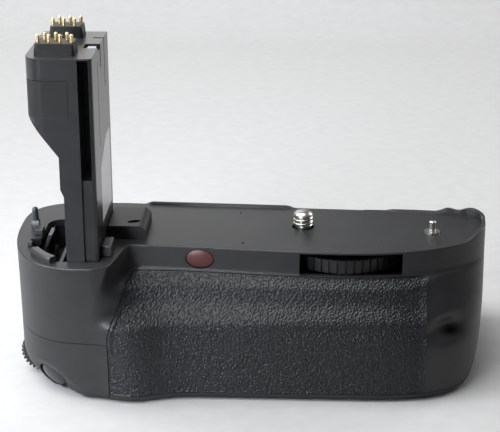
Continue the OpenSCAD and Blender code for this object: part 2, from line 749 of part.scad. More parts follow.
// Plan of the stalk, drawn in by d, with its round left front edge
module stalk_plan(d) {
    translate([stalk_left + d, stalk_front + stalk_r]) square([stalk_w - 2 * d, stalk_d - stalk_r - d]);
    translate([stalk_left + stalk_r, stalk_front + d]) square([stalk_w - stalk_r - d, stalk_r]);
    translate([stalk_left + stalk_r, stalk_front + stalk_r]) circle(stalk_r - d);
}

module stalk_core() color(plastic) difference() {
    intersection() {
        translate([0, stalk_front + stalk_d, 0]) rotate([90, 0, 0]) linear_extrude(stalk_d) stalk_2d();
        linear_extrude(big) stalk_plan(0);
    }
    translate([channel_right - channel_w, stalk_front - 1, channel_end])
        cube([channel_w, channel_d + 1, big]);
    translate([channel_right - channel_w, stalk_front - 1, foot_z - 1])
        cube([channel_w, 1 + channel_shallow, channel_end - foot_z + 2]);
    translate([stalk_right - notch_d, stalk_front + notch_y, stalk_top - notch_h]) cube([big, notch_w, big]);
    translate([stalk_right - step_d, stalk_front + notch_y, stalk_top - step_h]) cube([big, top_step_w, big]);
    translate([stalk_right - line_d, stalk_front + line_y, stalk_top - line_z1])
        cube([1, line_d, line_z1 - line_z0]);
    translate([stalk_left - 1, stalk_front - 1, foot_z - 1])
        cube([stalk_w + 2, 1 + tenon_step, deck_z - deck_t - foot_z + 1]);
    panel_cut(fit);
    plate_cut(fit);
}

// Inlaid panel on the front of the head and its seat
panel_t = 0.8;
panel_drop = 6.7;
panel_w = 12.6;
panel_wrap = 9;
module panel_cut(g) translate([0, 0, stalk_top - head_h - g])
    linear_extrude(head_h - panel_drop + 2 * g) intersection() {
        difference() {
            stalk_plan(g > 0 ? -1 : 0);
            stalk_plan(panel_t + g);
        }
        translate([stalk_left - 2, stalk_front - 2]) square([panel_w + 2 + g, panel_wrap + 2 + g]);
    }
module stalk_panel() color(dark_plastic) panel_cut(0);

// Bare pale plate on the right side of the stalk, with its upper front corner cut off
side_t = 0.6;
side_y0 = -21;
side_y1 = 0;
side_lift = 8.5;
side_h = 24.5;
side_z0 = deck_z + side_lift;
side_z1 = side_z0 + side_h;
side_cut_y = 13;
side_cut_z = 7;
module plate_cut(g) translate([stalk_right - side_t - g, 0, 0]) rotate([90, 0, 90])
    linear_extrude(side_t + g + (g > 0 ? 1 : 0)) polygon([
        [side_y0 - g, side_z0 - g], [side_y1 + g, side_z0 - g], [side_y1 + g, side_z1 + g],
        [side_y0 + side_cut_y - g, side_z1 + g], [side_y0 - g, side_z1 - side_cut_z + g]]);
module side_plate() color("#b9b9b8") plate_cut(0);

// Contact block with staggered bores, and the pins that slide in them
front_block_at = [-73.2, -26];
rear_block_at = [-73.2, -3.4];
row_gap = 2.7;
function pin_places(front_n, rear_n) = concat(
    [for (k = [0:front_n - 1]) [(k - (front_n - 1) / 2) * contact_pitch, -row_gap / 2]],
    [for (k = [0:rear_n - 1]) [(k - (rear_n - 1) / 2) * contact_pitch, row_gap / 2]]);
front_places = pin_places(4, 3);
stagger = 0.8;
rear_places = [for (p = pin_places(3, 3)) [p[0] + (p[1] > 0 ? stagger : -stagger), p[1]]];
block_taper = 0.5;
block_round = 1;
front_block = [12.2, 7.4];
rear_block = [10.6, 6.6];
module contact_block(size, places) difference() {
    w = size[0];
    d = size[1];
    intersection() {
        translate([0, d / 2, 0]) rotate([90, 0, 0]) linear_extrude(d) polygon([
            [-w / 2, 0], [w / 2, 0],
            [w / 2 - block_taper, contact_block_h], [block_taper - w / 2, contact_block_h]]);
        linear_extrude(contact_block_h) {
            square([w, d - 2 * block_round], center = true);
            square([w - 2 * block_round, d], center = true);
            for (s = [-1, 1], t = [-1, 1])
                translate([s * (w / 2 - block_round), t * (d / 2 - block_round)]) circle(block_round);
        }
    }
    for (p = places) translate([p[0], p[1], -1]) cylinder(r = contact_r + run_fit, h = contact_block_h + 2);
}
pin_z = contact_travel + fit;
module contact_pins(places) for (p = places) translate([p[0], p[1], 0]) {
    translate([0, 0, pin_z]) cylinder(r = contact_r, h = contact_block_h + contact_proud - pin_z - contact_r);
    translate([0, 0, contact_block_h + contact_proud - contact_r]) sphere(contact_r);
}
module at_block(p) translate([p[0], p[1], stalk_top]) children();
module front_contact_block() color(dark_plastic) at_block(front_block_at)
    contact_block(front_block, front_places);
module rear_contact_block() color(dark_plastic) at_block(rear_block_at)
    contact_block(rear_block, rear_places);
module front_contact_pins() color(gold) at_block(front_block_at) contact_pins(front_places);
module rear_contact_pins() color(gold) at_block(rear_block_at) contact_pins(rear_places);

pin_chamfer = 0.3;
pin_flange_t = 0.5;
pin_root = 1;
module locating_pin() color(steel) translate([pin_x, pin_y, deck_z]) {
    cylinder(r = pin_flange_r, h = pin_flange_t);
    translate([0, 0, -deck_t - pin_root]) cylinder(r = pin_r, h = deck_t + pin_root + pin_h - pin_chamfer);
    translate([0, 0, pin_h - pin_chamfer]) cylinder(r1 = pin_r, r2 = pin_r - pin_chamfer, h = pin_chamfer);
}

// Camera screw: a plain shank for the pinion, a collar under the deck and the threaded end
neck_r = 2.9;
neck_rise = 0.4;
neck_z = deck_z + neck_rise;
module attachment_screw() color(steel) {
    translate([0, 0, gear_z]) cylinder(r = shank_r, h = gear_h);
    translate([0, 0, gear_z + gear_h]) cylinder(r = collar_r, h = collar_t);
    translate([0, 0, gear_z + gear_h + collar_t])
        cylinder(r = neck_r, h = neck_z - gear_z - gear_h - collar_t);
    translate([0, 0, neck_z]) cylinder(r = screw_r, h = deck_z + screw_proud - tip_h - neck_z);
    translate([0, 0, deck_z + screw_proud - tip_h]) cylinder(r1 = screw_r, r2 = screw_r - tip_h, h = tip_h);
}

// Tooth heights in modules: the pinion's tip and root, and the ring's root and tip
pinion_tip = 0.9;
tooth_root = 1.15;
ring_tip = 0.7;
module screw_gear() color("#b08d57") translate([0, 0, gear_z]) rotate([0, 0, mesh_angle]) difference() {
    linear_extrude(gear_h) gear_2d(pinion_teeth, gear_m * (pinion_teeth / 2 + pinion_tip),
        gear_m * (pinion_teeth / 2 - tooth_root), backlash);
    translate([0, 0, -1]) cylinder(r = shank_r + press_gap, h = gear_h + 2);
}

knurl_rib = 0.72;
module thumbwheel() color(dark_plastic)
    translate([wheel_x, wheel_y, wheel_z]) rotate([0, 0, mesh_angle]) difference() {
        linear_extrude(wheel_t) knurl_2d(wheel_r, knurl_d, knurls, knurl_rib);
        translate([0, 0, wheel_floor]) linear_extrude(wheel_t) gear_2d(ring_teeth,
            gear_m * (ring_teeth / 2 + tooth_root), gear_m * (ring_teeth / 2 - ring_tip), -backlash);
        translate([0, 0, -1]) cylinder(r = axle_r + run_fit, h = wheel_t + 2);
    }

axle_step = 2;
axle_top = 2;
module wheel_axle() color(steel) translate([wheel_x, wheel_y, 0]) {
    translate([0, 0, chassis_top]) cylinder(r = axle_r + axle_step, h = wheel_z - gear_lift - chassis_top);
    translate([0, 0, wheel_z - gear_lift]) cylinder(r = axle_r, h = wheel_floor + axle_top);
}

clip_ring = 1.6;
clip_t = 0.6;
module axle_clip() color(steel)
    translate([wheel_x, wheel_y, wheel_z + wheel_floor + gear_lift]) difference() {
        cylinder(r = axle_r + clip_ring, h = clip_t);
        translate([0, 0, -1]) cylinder(r = axle_r + press_gap, h = clip_t + 2);
    }

module ir_window() color("#5a1512")
    translate([window_x, front_y(window_x, window_z, 0) + window_in + window_t / 2, window_z])
        oval_y(window_w - 2 * fit, window_h - 2 * fit, window_t);

board_lift = 1.5;
board_t = 1.1;
board_top = chassis_top + board_lift + board_t;
sensor_in = 4;
sensor_gap = 1.5;
sensor_size = [5, 3, deck_z - deck_t - sensor_gap - board_top - fit];
module ir_sensor() color(dark_plastic)
    translate([window_x - sensor_size[0] / 2, front_y(window_x, window_z, 0) + sensor_in, board_top + fit])
        cube(sensor_size);

chassis_x = -76;
chassis_y = -15;
chassis_end = 14;
chassis_w = body_right - chassis_end - chassis_x;
chassis_d = 33;
chassis_hole_r = 1.2;
hole_in = 4;
chassis_holes = [for (x = [screw_left, body_right - screw_end],
    y = [chassis_y + hole_in, chassis_y + chassis_d - hole_in]) [x, y]];
module chassis_plate() color("#8f9396") difference() {
    translate([chassis_x, chassis_y, chassis_z]) cube([chassis_w, chassis_d, chassis_t]);
    for (p = chassis_holes) translate([p[0], p[1], chassis_z - 1])
        cylinder(r = chassis_hole_r, h = chassis_t + 2);
}

board_at = [-52, -14];
board_size = [44, 30];
post_in = [2, 3];
board_post_r = 1.6;
chip_at = [6, 14];
chip_size = [9, 9, 1.2];
coil_at = [22, 16];
coil_size = [6, 10, 1.4];
module main_board() color("#1f4a33") translate([board_at[0], board_at[1], chassis_top]) {
    translate([0, 0, board_lift]) cube([board_size[0], board_size[1], board_t]);
    for (x = [post_in[0], board_size[0] - post_in[0]], y = [post_in[1], board_size[1] - post_in[1]])
        translate([x, y, 0]) cylinder(r = board_post_r, h = board_lift);
    translate([chip_at[0], chip_at[1], board_lift + board_t]) cube(chip_size);
    translate([coil_at[0], coil_at[1], board_lift + board_t]) cube(coil_size);
}

// Guide sleeve of the magazine, open at the rear
module battery_bay() color(dark_plastic) difference() {
    translate([bay_x - bay_w / 2, bay_front, bay_z]) cube([bay_w, bay_rear - bay_front, bay_h]);
    translate([bay_x - bay_w / 2 + tray_t, bay_front + tray_t, bay_z + tray_t])
        cube([bay_w - 2 * tray_t, big, bay_h - 2 * tray_t]);
}

contact_z = tray_z + tray_h / 2;
contact_w = 3;
contact_gap = 8;
contact_h = 6;
bay_contact_h = 10;
function blade_x(s, k) = bay_x + s * (cell_w + tray_t) / 2 + k * contact_gap - contact_w / 2;
function cell_x(s) = bay_x + s * (cell_w + tray_t + 2 * fit) / 2 - cell_w / 2;
module bay_contacts() color(gold) for (s = [-1, 1], k = [-1, 0, 1])
    translate([blade_x(s, k), bay_front + tray_t, contact_z - bay_contact_h / 2])
        cube([contact_w, slide_gap - fit, bay_contact_h]);

// Magazine: an open tray with a divider, its door, the two packs and their contact blades
tray_side = 0.75;
module magazine_tray() color(dark_plastic) difference() {
    translate([bay_x - tray_w / 2, tray_front, tray_z])
        cube([tray_w, door_in - tray_front, tray_h - cell_h * (1 - tray_side)]);
    for (s = [-1, 1]) translate([cell_x(s) - fit, cell_front - fit, tray_z + tray_t])
        cube([cell_w + 2 * fit, big, big]);
    for (s = [-1, 1], k = [-1, 0, 1])
        translate([blade_x(s, k) - fit, tray_front - 1, contact_z - contact_h / 2 - fit])
            cube([contact_w + 2 * fit, tray_t + 1 + fit, contact_h + 2 * fit]);
}

module tray_contacts() color(gold) for (s = [-1, 1], k = [-1, 0, 1])
    translate([blade_x(s, k), tray_front, contact_z - contact_h / 2]) cube([contact_w, tray_t, contact_h]);

knob_edge = 0.9;
knob_at = [door_right - knob_r - knob_edge, (door_z0 + door_z1) / 2];
lock_shaft_r = 2;
knob_t = 2.5;
handle_gap = 0.3;
handle_rim = 1.2;
handle_t = 1.5;
handle_pin_r = 0.4;
ribs = 5;
rib_x = 4;
rib_z = 6;
rib_pitch = 3;
rib_l = 14;
rib_w = 1.2;
rib_d = 0.5;
module magazine_door() color(plastic) difference() {
    translate([door_left, door_in, door_z0]) cube([door_right - door_left, door_t, door_z1 - door_z0]);
    translate([knob_at[0], body_rear - knob_t - handle_gap, knob_at[1]]) rod_y(knob_r + handle_gap, big);
    translate([knob_at[0], 0, knob_at[1]]) rod_y(lock_shaft_r + run_fit, big);
    for (k = [0:ribs - 1]) translate([door_left + rib_x, body_rear - rib_d, door_z0 + rib_z + rib_pitch * k])
        cube([rib_l, 1, rib_w]);
}

// A battery pack with a latch notch in its inner end and a guide groove along each side
groove_d = 1;
groove_w = 3;
groove_in = 6;
latch_l = 24;
latch_d = 0.6;
latch_z = 6;
module pack(s) translate([cell_x(s), cell_front, tray_z + tray_t + fit]) difference() {
    cube([cell_w, cell_l, cell_h]);
    translate([(cell_w - latch_l) / 2, -1, cell_h - latch_z]) cube([latch_l, 1 + latch_d, latch_z / 2]);
    for (x = [-groove_d, cell_w - groove_d]) translate([x, groove_in, (cell_h - groove_w) / 2])
        cube([2 * groove_d, cell_l - 2 * groove_in, groove_w]);
}
module battery_left() color("#3a3b3e") pack(-1);
module battery_right() color("#3a3b3e") pack(1);

// Lock: a knob in the door, the bolt on its shaft and a half-round handle that folds into it
bolt_t = 1.4;
bolt_w = 4.4;
bolt_r = 3.2;
bolt_gap = 0.3;
pin_in = 0.5;
module at_knob(y) translate([knob_at[0], y, knob_at[1]]) children();
module lock_knob() color(dark_plastic) difference() {
    union() {
        at_knob(body_rear - knob_t) rod_y(knob_r, knob_t);
        at_knob(door_in - bolt_gap - bolt_t) rod_y(lock_shaft_r, bolt_gap + bolt_t + door_t - knob_t / 2);
    }
    at_knob(body_rear - handle_t - handle_gap) intersection() {
        rod_y(knob_r - handle_rim + handle_gap, big);
        translate([-handle_t / 2 - handle_gap, 0, -big / 2]) cube([big, big, big]);
    }
    at_knob(body_rear - handle_t / 2) cylinder(r = handle_pin_r, h = big, center = true);
}
module lock_bolt() color(steel) at_knob(door_in - bolt_gap - bolt_t) difference() {
    union() {
        translate([-bolt_w / 2, 0, 0]) cube([bolt_w, bolt_t, bolt_l]);
        rod_y(bolt_r, bolt_t);
    }
    translate([0, -1, 0]) rod_y(lock_shaft_r, bolt_t + 2);
}
module release_handle() color(steel) at_knob(body_rear - handle_t) difference() {
    union() {
        intersection() {
            rod_y(knob_r - handle_rim, handle_t);
            translate([0, 0, -big / 2]) cube([big, handle_t, big]);
        }
        translate([0, handle_t / 2, 0])
            cylinder(r = handle_t / 2, h = 2 * (knob_r - handle_rim), center = true);
    }
    translate([0, handle_t / 2, 0]) cylinder(r = handle_pin_r + run_fit, h = big, center = true);
}
module handle_pin() color(steel) at_knob(body_rear - handle_t / 2)
    cylinder(r = handle_pin_r, h = 2 * (knob_r - pin_in), center = true);

// Shutter button with a domed top, and its two-stage switch behind it
shutter_l = 3.2;
shutter_edge = -0.5;
shutter_dome = 0.7;
module shutter_button() color(dark_plastic) on_facet(0) rotate_extrude()
    polygon(concat([[0, -shutter_l], [shutter_r, -shutter_l]],
        [for (a = [0:15:90]) [shutter_r * cos(a), shutter_edge + shutter_dome * sin(a)]]));

shutter_base = 7.5;
shutter_base_t = 2;
plunger_r = 2;
module shutter_switch() color("#303033") on_facet(-shutter_base) {
    cylinder(r = shutter_r + fit, h = shutter_base_t);
    cylinder(r = plunger_r, h = shutter_base - shutter_l - shutter_travel - fit);
}

module main_dial() color(dark_plastic) translate(dial_at) rotate([90, 0, 0]) difference() {
    translate([0, 0, -dial_t / 2]) linear_extrude(dial_t) knurl_2d(dial_r, dial_rib_d, dial_ribs, dial_rib);
    cylinder(r = dial_axle_r + run_fit, h = big, center = true);
}

module dial_axle() color(steel) translate(dial_at) rotate([90, 0, 0])
    cylinder(r = dial_axle_r, h = dial_t + 2 * dial_gap + 2 * ear_t, center = true);

// Two ears that stand on the floor of the control cap and carry the dial's axle
ear_t = 1;
ear_foot_x = -77;
ear_foot_w = 4;
ear_right = 3.5;
ear_high = 2.4;
ear_left = 1.7;
ear_back = 1.7;
ear_low = 1.2;
module dial_bracket() color(dark_plastic) difference() {
    for (side = [-1, 1])
        translate([0, dial_at[1] + side * (dial_t / 2 + dial_gap + ear_t / 2), 0]) rotate([90, 0, 0])
            linear_extrude(ear_t, center = true) polygon([
                [ear_foot_x, base_t + fit], [ear_foot_x + ear_foot_w, base_t + fit],
                [dial_at[0] + ear_right, dial_at[2] + ear_high],
                [dial_at[0] - ear_left, dial_at[2] + ear_left],
                [dial_at[0] - ear_back, dial_at[2] - ear_low]]);
    translate(dial_at) rotate([90, 0, 0]) cylinder(r = dial_axle_r, h = big, center = true);
}

// A rear key: a flange behind the wall and a domed face
module key(x) color(dark_plastic) translate([x, key_base, key_z]) {
    face = rear_y(x, key_z, 0) + key_proud - key_base;
    rod_y(key_r + key_flange, key_flange_t);
    rod_y(key_r, face - key_edge);
    translate([0, face - key_edge, 0]) rotate([-90, 0, 0])
        cylinder(r1 = key_r, r2 = key_r - key_edge, h = key_edge);
}
module lock_button() key(key_xs[0]);
module focus_button() key(key_xs[1]);
module point_button() key(key_xs[2]);

key_board_h = 15;
key_board_gap = 0.4;
key_board_left = -82;
key_board_foot = -75;
key_board_slant = 8.5;
key_switch_w = 4;
module key_board() color("#1f4a33") translate([0, key_board_y + key_board_t, base_t + fit]) rotate([90, 0, 0])
    linear_extrude(key_board_t) polygon([[key_board_foot, 0], [cap_last - wall - key_board_gap, 0],
        [cap_last - wall - key_board_gap, key_board_h], [key_board_left, key_board_h],
        [key_board_left, key_board_slant]]);
module key_switches() color("#303033") for (x = key_xs)
    translate([x - key_switch_w / 2, key_board_y + key_board_t, key_z - key_switch_w / 2])
        cube([key_switch_w, key_switch_t, key_switch_w]);

// Power switch lever on the rear of the body
lever_r = 4;
lever_t = 1.4;
lever_w = 2;
lever_l = 6.5;
module power_switch() color(dark_plastic) translate([switch_at[0], body_rear + switch_gap, switch_at[1]]) {
    rod_y(lever_r, lever_t);
    translate([0, -2 * wall, 0]) rod_y(switch_r, 2 * wall + lever_t / 2);
    translate([-lever_w / 2, 0, 0]) cube([lever_w, lever_t + switch_gap, lever_l]);
}

module tripod_socket() color(steel) difference() {
    cylinder(r = socket_flange_r, h = socket_h);
    translate([0, 0, -1]) cylinder(r = socket_r, h = socket_h + 2);
}

module base_screws() color(steel) for (p = screw_xy) translate([p[0], p[1], head_sink]) {
    cylinder(r = head_r, h = head_t);
    cylinder(r = base_screw_r, h = socket_h - head_sink - fit);
}

main_housing();
control_cap();
bottom_cover();
grip_rubber();
filler_block();
corner_block();
door_pocket();
pocket_clip();
latch_bar();
switch_post();
stalk_core();
stalk_panel();
side_plate();
front_contact_block();
rear_contact_block();
front_contact_pins();
rear_contact_pins();
locating_pin();
attachment_screw();
screw_gear();
thumbwheel();
wheel_axle();
axle_clip();
ir_window();
ir_sensor();
chassis_plate();
main_board();
battery_bay();
bay_contacts();
magazine_tray();
magazine_door();
battery_left();
battery_right();
tray_contacts();
lock_knob();
lock_bolt();
release_handle();
handle_pin();
shutter_button();
shutter_switch();
main_dial();
dial_axle();
dial_bracket();
lock_button();
focus_button();
point_button();
key_board();
key_switches();
power_switch();
tripod_socket();
base_screws();
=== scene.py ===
"""Camera battery grip: moulded shells, leather-grain rubber, contact stalk and attachment screw.

The shells follow the same outlines as the solid model, on a finer mesh. X runs to the right, y to
the rear and z up. Sizes are in millimetres and become metres when a mesh is made.
"""

import json
import math

import bmesh
import bpy
import numpy as np
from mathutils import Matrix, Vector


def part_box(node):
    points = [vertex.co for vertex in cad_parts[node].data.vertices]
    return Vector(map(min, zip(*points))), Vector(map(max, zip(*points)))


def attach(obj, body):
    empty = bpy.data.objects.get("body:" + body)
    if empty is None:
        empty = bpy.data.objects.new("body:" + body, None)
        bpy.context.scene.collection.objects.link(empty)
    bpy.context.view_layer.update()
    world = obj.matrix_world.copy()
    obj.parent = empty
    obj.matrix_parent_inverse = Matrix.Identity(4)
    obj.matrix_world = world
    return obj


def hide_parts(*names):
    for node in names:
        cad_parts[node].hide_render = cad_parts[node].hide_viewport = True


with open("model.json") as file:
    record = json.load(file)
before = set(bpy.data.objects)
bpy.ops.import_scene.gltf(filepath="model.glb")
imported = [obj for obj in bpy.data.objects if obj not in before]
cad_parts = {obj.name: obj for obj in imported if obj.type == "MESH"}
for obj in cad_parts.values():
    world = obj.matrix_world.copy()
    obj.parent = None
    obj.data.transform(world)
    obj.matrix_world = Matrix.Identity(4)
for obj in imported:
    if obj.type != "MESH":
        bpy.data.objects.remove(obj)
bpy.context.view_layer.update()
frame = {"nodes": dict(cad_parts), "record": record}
scene = bpy.context.scene
nodes = frame["nodes"]
MM = 0.001
MERGE = 0.002  # points nearer than this become one
FAR = 200.0  # reach of a cutter where nothing limits it
FULL_TURN, QUARTER = 2 * np.pi, np.pi / 2

# Body: its ends, the deck, the walls and the seam between the shells
BODY_LEFT, BODY_RIGHT, BODY_REAR = 91.3, 59.1, 42.6
DECK_Z, DECK_T, WALL, BASE_T, SEAM = 47.0, 2.2, 1.6, 2.5, 0.18
CAP_Z, CAP_LAST, CAP_GAP, COVER_GAP = 20.0, -60.1, 0.2, 0.25
END_FLAT, RIGHT_Y = 0.4, 5.0
EDGE_R, TIP_W = 2.4, 1.1

# Front face: the swelling left end, the deck's edge and the S-shaped step between them
SWELL_X, SWELL_LOW, SWELL_FLARE, FLARE_N = -67.0, 32.5, 6.9, 1.6
DECK_FRONT, DECK_NOTCH, BELLY_X, SWEEP_W = 23.1, 18.3, 13.5, 67.0
STEP_MID, STEP_W, STEP_GROW, STEP_SHARE = -56.6, 2.4, 0.4, 0.76
ROUND_X, ROUND_W = -64.5, 12.0
FLANK_X, FLANK_W = -60.0, 18.0
BULGE, BULGE_X, BULGE_W = 3.2, -51.5, 9.5

# Front face: the shelf, the finger groove, the ridge, the hollow under it and the scoop
GRIP_DEPTH = 31.3
SHELF_Z, SHELF_RUN, SHELF_END, SHELF_TIGHT = 39.9, 4.6, 0.5, 2.0
SHELF_SHARE, GROOVE_SHARE = 0.30, 0.32
RIDGE_LOW, RIDGE_RISE, RIDGE_RUN, RIDGE_X, RIDGE_W = 25.0, 3.5, 7.0, 25.0, 22.0
FADE_X, FADE_W = 32.0, 14.0
UNDER_D, UNDER_X, UNDER_W, UNDER_DROP, UNDER_H = 0.7, -20.0, 40.0, 4.2, 2.2
SCOOP_DEPTH, SCOOP_X, SCOOP_RX, SCOOP_RZ, SCOOP_DROP = 4.2, 45.5, 5.4, 3.0, 1.6

# Rear face and the curves of the ends, whose fullness is the exponent of an ellipse
DECK_REAR, REAR_FLARE, REAR_X, REAR_W, SLOPE_RUN = 16.8, 4.2, 20.0, 80.0, 14.0
CORNER_X, CORNER_Z = BODY_LEFT + SWELL_X - EDGE_R - TIP_W, 11.0
TUCK_X, TUCK_Z, TUCK_N = 5.1, 42.0, 2.2
FRONT_N, FRONT_LOW_N, LEFT_FRONT_N = 2.24, 3.35, 2.4
LEFT_REAR_N, RIGHT_REAR_LOW_N = 3.0, 7.0

# Front rubber and its recess in the shell
RUBBER_T, RUBBER_TOP, RUBBER_BOTTOM = 1.0, 38.9, BASE_T + 0.15
RUBBER_LEFT, RUBBER_RIGHT, RUBBER_R = -60.0, 38.7, 2.4
EDGE_LEAN, EDGE_RUN = 5.4, 18.0
RECESS_SHARE, RECESS_RUN = 0.85, 0.2


def ease(t):
    s = np.clip(t, 0.0, 1.0)
    return s * s * (3.0 - 2.0 * s)


def lerp(a, b, t):
    return a + (b - a) * t


def bell(t):
    return np.exp(-(t ** 2))


def swept(s, n):
    """Height of a unit superellipse of exponent n at s."""
    return np.maximum(1.0 - np.clip(s, 0.0, 1.0) ** n, 0.0) ** (1.0 / n)


def left_end(z):
    return -BODY_LEFT + CORNER_X * (1.0 - swept((CORNER_Z - z) / CORNER_Z, 2.0))


def right_end(z):
    return BODY_RIGHT - TUCK_X * (1.0 - swept((TUCK_Z - z) / TUCK_Z, TUCK_N))


def ridge_z(x):
    return RIDGE_LOW + RIDGE_RISE * (1.0 - ease((x - RIDGE_X) / RIDGE_W))


def upper_depth(x, z, swell):
    """Depth of the front face along the deck: the swell, the step and the deck's edge."""
    t = np.clip((BELLY_X - x) / SWEEP_W, 0.0, 1.0)
    deck_edge = lerp(DECK_FRONT, DECK_NOTCH, (1.0 - np.cos(np.pi * t)) / 2.0)
    half = STEP_W + STEP_GROW * np.maximum(DECK_Z - z, 0.0)
    sharp = ease((x - STEP_MID) / half / 2.0 + 0.5)
    return lerp(swell, deck_edge, lerp(ease((x - ROUND_X) / ROUND_W), sharp, STEP_SHARE))


def lower_share(x, z):
    """How far the front face has gone from its upper depth to the grip's depth at height z."""
    ridge = ridge_z(x)
    left = 1.0 - ease((x - FADE_X) / FADE_W)
    shelf_part = SHELF_SHARE * lerp(SHELF_END, 1.0, left)
    ridge_part = (1.0 - SHELF_SHARE - GROOVE_SHARE) * left
    drop, foot = SHELF_Z - z, SHELF_Z - ridge + RIDGE_RUN / 2.0
    shelf = shelf_part * ease(drop / lerp(SHELF_TIGHT, SHELF_RUN, left))
    groove = (1.0 - shelf_part - ridge_part) * ease(drop / foot)
    return shelf + ridge_part * ease((ridge - z) / RIDGE_RUN + 0.5) + groove


def front_depth(x, z):
    """Depth of the front face: the deck's edge above, the grip below, and what is hollowed out."""
    swell = SWELL_LOW + SWELL_FLARE * np.clip(z / DECK_Z, 0.0, 1.0) ** FLARE_N
    flank = lerp(swell, GRIP_DEPTH, ease((x - FLANK_X) / FLANK_W))
    lower = flank + BULGE * bell((x - BULGE_X) / BULGE_W)
    scoop_z = ridge_z(SCOOP_X) - SCOOP_DROP
    scoop = SCOOP_DEPTH * bell((x - SCOOP_X) / SCOOP_RX) * bell((z - scoop_z) / SCOOP_RZ)
    under = UNDER_D * ease((x - UNDER_X) / UNDER_W) * bell((z - ridge_z(x) + UNDER_DROP) / UNDER_H)
    return lerp(upper_depth(x, z, swell), lower, lower_share(x, z)) - scoop - under


def shares(x, z, d, left_n, right_n):
    """How much of its depth a face, drawn in by d, keeps towards the left and the right end."""
    left = swept((SWELL_X - x) / (SWELL_X - left_end(z) - d), left_n)
    right = swept((x - BELLY_X) / (right_end(z) - d - BELLY_X), right_n)
    return left, right


def front_y(x, z, d=0.0):
    y = d - front_depth(x, z)
    right_n = lerp(FRONT_N, FRONT_LOW_N, ease((DECK_Z - z) / TUCK_Z))
    left, right = shares(x, z, d, LEFT_FRONT_N, right_n)
    y_left = np.minimum(y * left, -END_FLAT)
    y_right = np.minimum(RIGHT_Y + (y - RIGHT_Y) * right, RIGHT_Y - END_FLAT)
    return np.where(x < SWELL_X, y_left, np.where(x > BELLY_X, y_right, y))


def rear_y(x, z, d=0.0):
    slope = ease((DECK_Z - z) / SLOPE_RUN)
    deck_rear = DECK_REAR + REAR_FLARE * np.clip((REAR_X - x) / REAR_W, 0.0, 1.0)
    y = lerp(deck_rear, BODY_REAR, slope) - d
    left, right = shares(x, z, d, LEFT_REAR_N, lerp(LEFT_REAR_N, RIGHT_REAR_LOW_N, slope))
    y_left = np.maximum(y * left, END_FLAT)
    y_right = np.maximum(RIGHT_Y + (y - RIGHT_Y) * right, RIGHT_Y + END_FLAT)
    return np.where(x < SWELL_X, y_left, np.where(x > BELLY_X, y_right, y))


def rubber_sides(z):
    """Left and right edge of the rubber at height z, with rounded upper corners."""
    up = np.clip((z - RUBBER_TOP + RUBBER_R) / RUBBER_R, 0.0, 1.0)
    corner = RUBBER_R * (1.0 - np.sqrt(np.maximum(1.0 - up * up, 0.0)))
    left = RUBBER_LEFT + EDGE_LEAN * ease((z - RUBBER_TOP) / EDGE_RUN + 1.0)
    return left + corner, RUBBER_RIGHT - corner


def rubber_recess(x, z):
    """How far the shell sinks under the rubber."""
    left, right = rubber_sides(z)
    inside = np.minimum(np.minimum(x - left, right - x), RUBBER_TOP - z)
    return RECESS_SHARE * RUBBER_T * ease(inside / RECESS_RUN)


# Angles in degrees above which an edge stays sharp under smooth shading
SHELL_ANGLE, RUBBER_ANGLE, TURNED_ANGLE, BAR_ANGLE = 32.0, 60.0, 40.0, 50.0
FLAT_ANGLE, BEVEL_ANGLE, BEVEL_STEPS = 1.0, 35.0, 3


def mesh_object(name, points, faces):
    mesh = bpy.data.meshes.new(name)
    mesh.from_pydata((np.asarray(points) * MM).tolist(), [], faces)
    mesh.validate()
    obj = bpy.data.objects.new(name, mesh)
    scene.collection.objects.link(obj)
    return obj


def make_outward(obj):
    bm = bmesh.new()
    bm.from_mesh(obj.data)
    bmesh.ops.recalc_face_normals(bm, faces=bm.faces)
    bm.to_mesh(obj.data)
    bm.free()


def smooth(obj, degrees):
    """Smooth shading with sharp edges where faces meet at more than an angle."""
    bm = bmesh.new()
    bm.from_mesh(obj.data)
    bmesh.ops.remove_doubles(bm, verts=bm.verts, dist=MERGE * MM)
    limit = math.radians(degrees)
    for face in bm.faces:
        face.smooth = True
    for edge in bm.edges:
        edge.smooth = len(edge.link_faces) == 2 and edge.calc_face_angle(0.0) < limit
    bm.to_mesh(obj.data)
    bm.free()


def soften(obj, width):
    """Rounds the sharp edges of a solid."""
    weld = obj.modifiers.new("weld", "WELD")
    weld.merge_threshold = MERGE * MM
    flat = obj.modifiers.new("flat", "DECIMATE")
    flat.decimate_type, flat.angle_limit = "DISSOLVE", math.radians(FLAT_ANGLE)
    bevel = obj.modifiers.new("edges", "BEVEL")
    bevel.width, bevel.segments, bevel.limit_method = width * MM, BEVEL_STEPS, "ANGLE"
    bevel.angle_limit, bevel.harden_normals = math.radians(BEVEL_ANGLE), True


def cut(obj, cutters):
    """Takes the cutters away from obj and deletes them."""
    group = bpy.data.collections.new(obj.name + "_cutters")
    scene.collection.children.link(group)
    for cutter in cutters:
        scene.collection.objects.unlink(cutter)
        group.objects.link(cutter)
    mod = obj.modifiers.new("cut", "BOOLEAN")
    mod.operation, mod.solver = "DIFFERENCE", "EXACT"
    mod.operand_type, mod.collection = "COLLECTION", group
    bpy.context.view_layer.update()
    evaluated = obj.evaluated_get(bpy.context.evaluated_depsgraph_get())
    result = bpy.data.meshes.new_from_object(evaluated)
    obj.modifiers.remove(mod)
    obj.data = result
    for cutter in cutters:
        bpy.data.objects.remove(cutter)
    bpy.data.collections.remove(group)


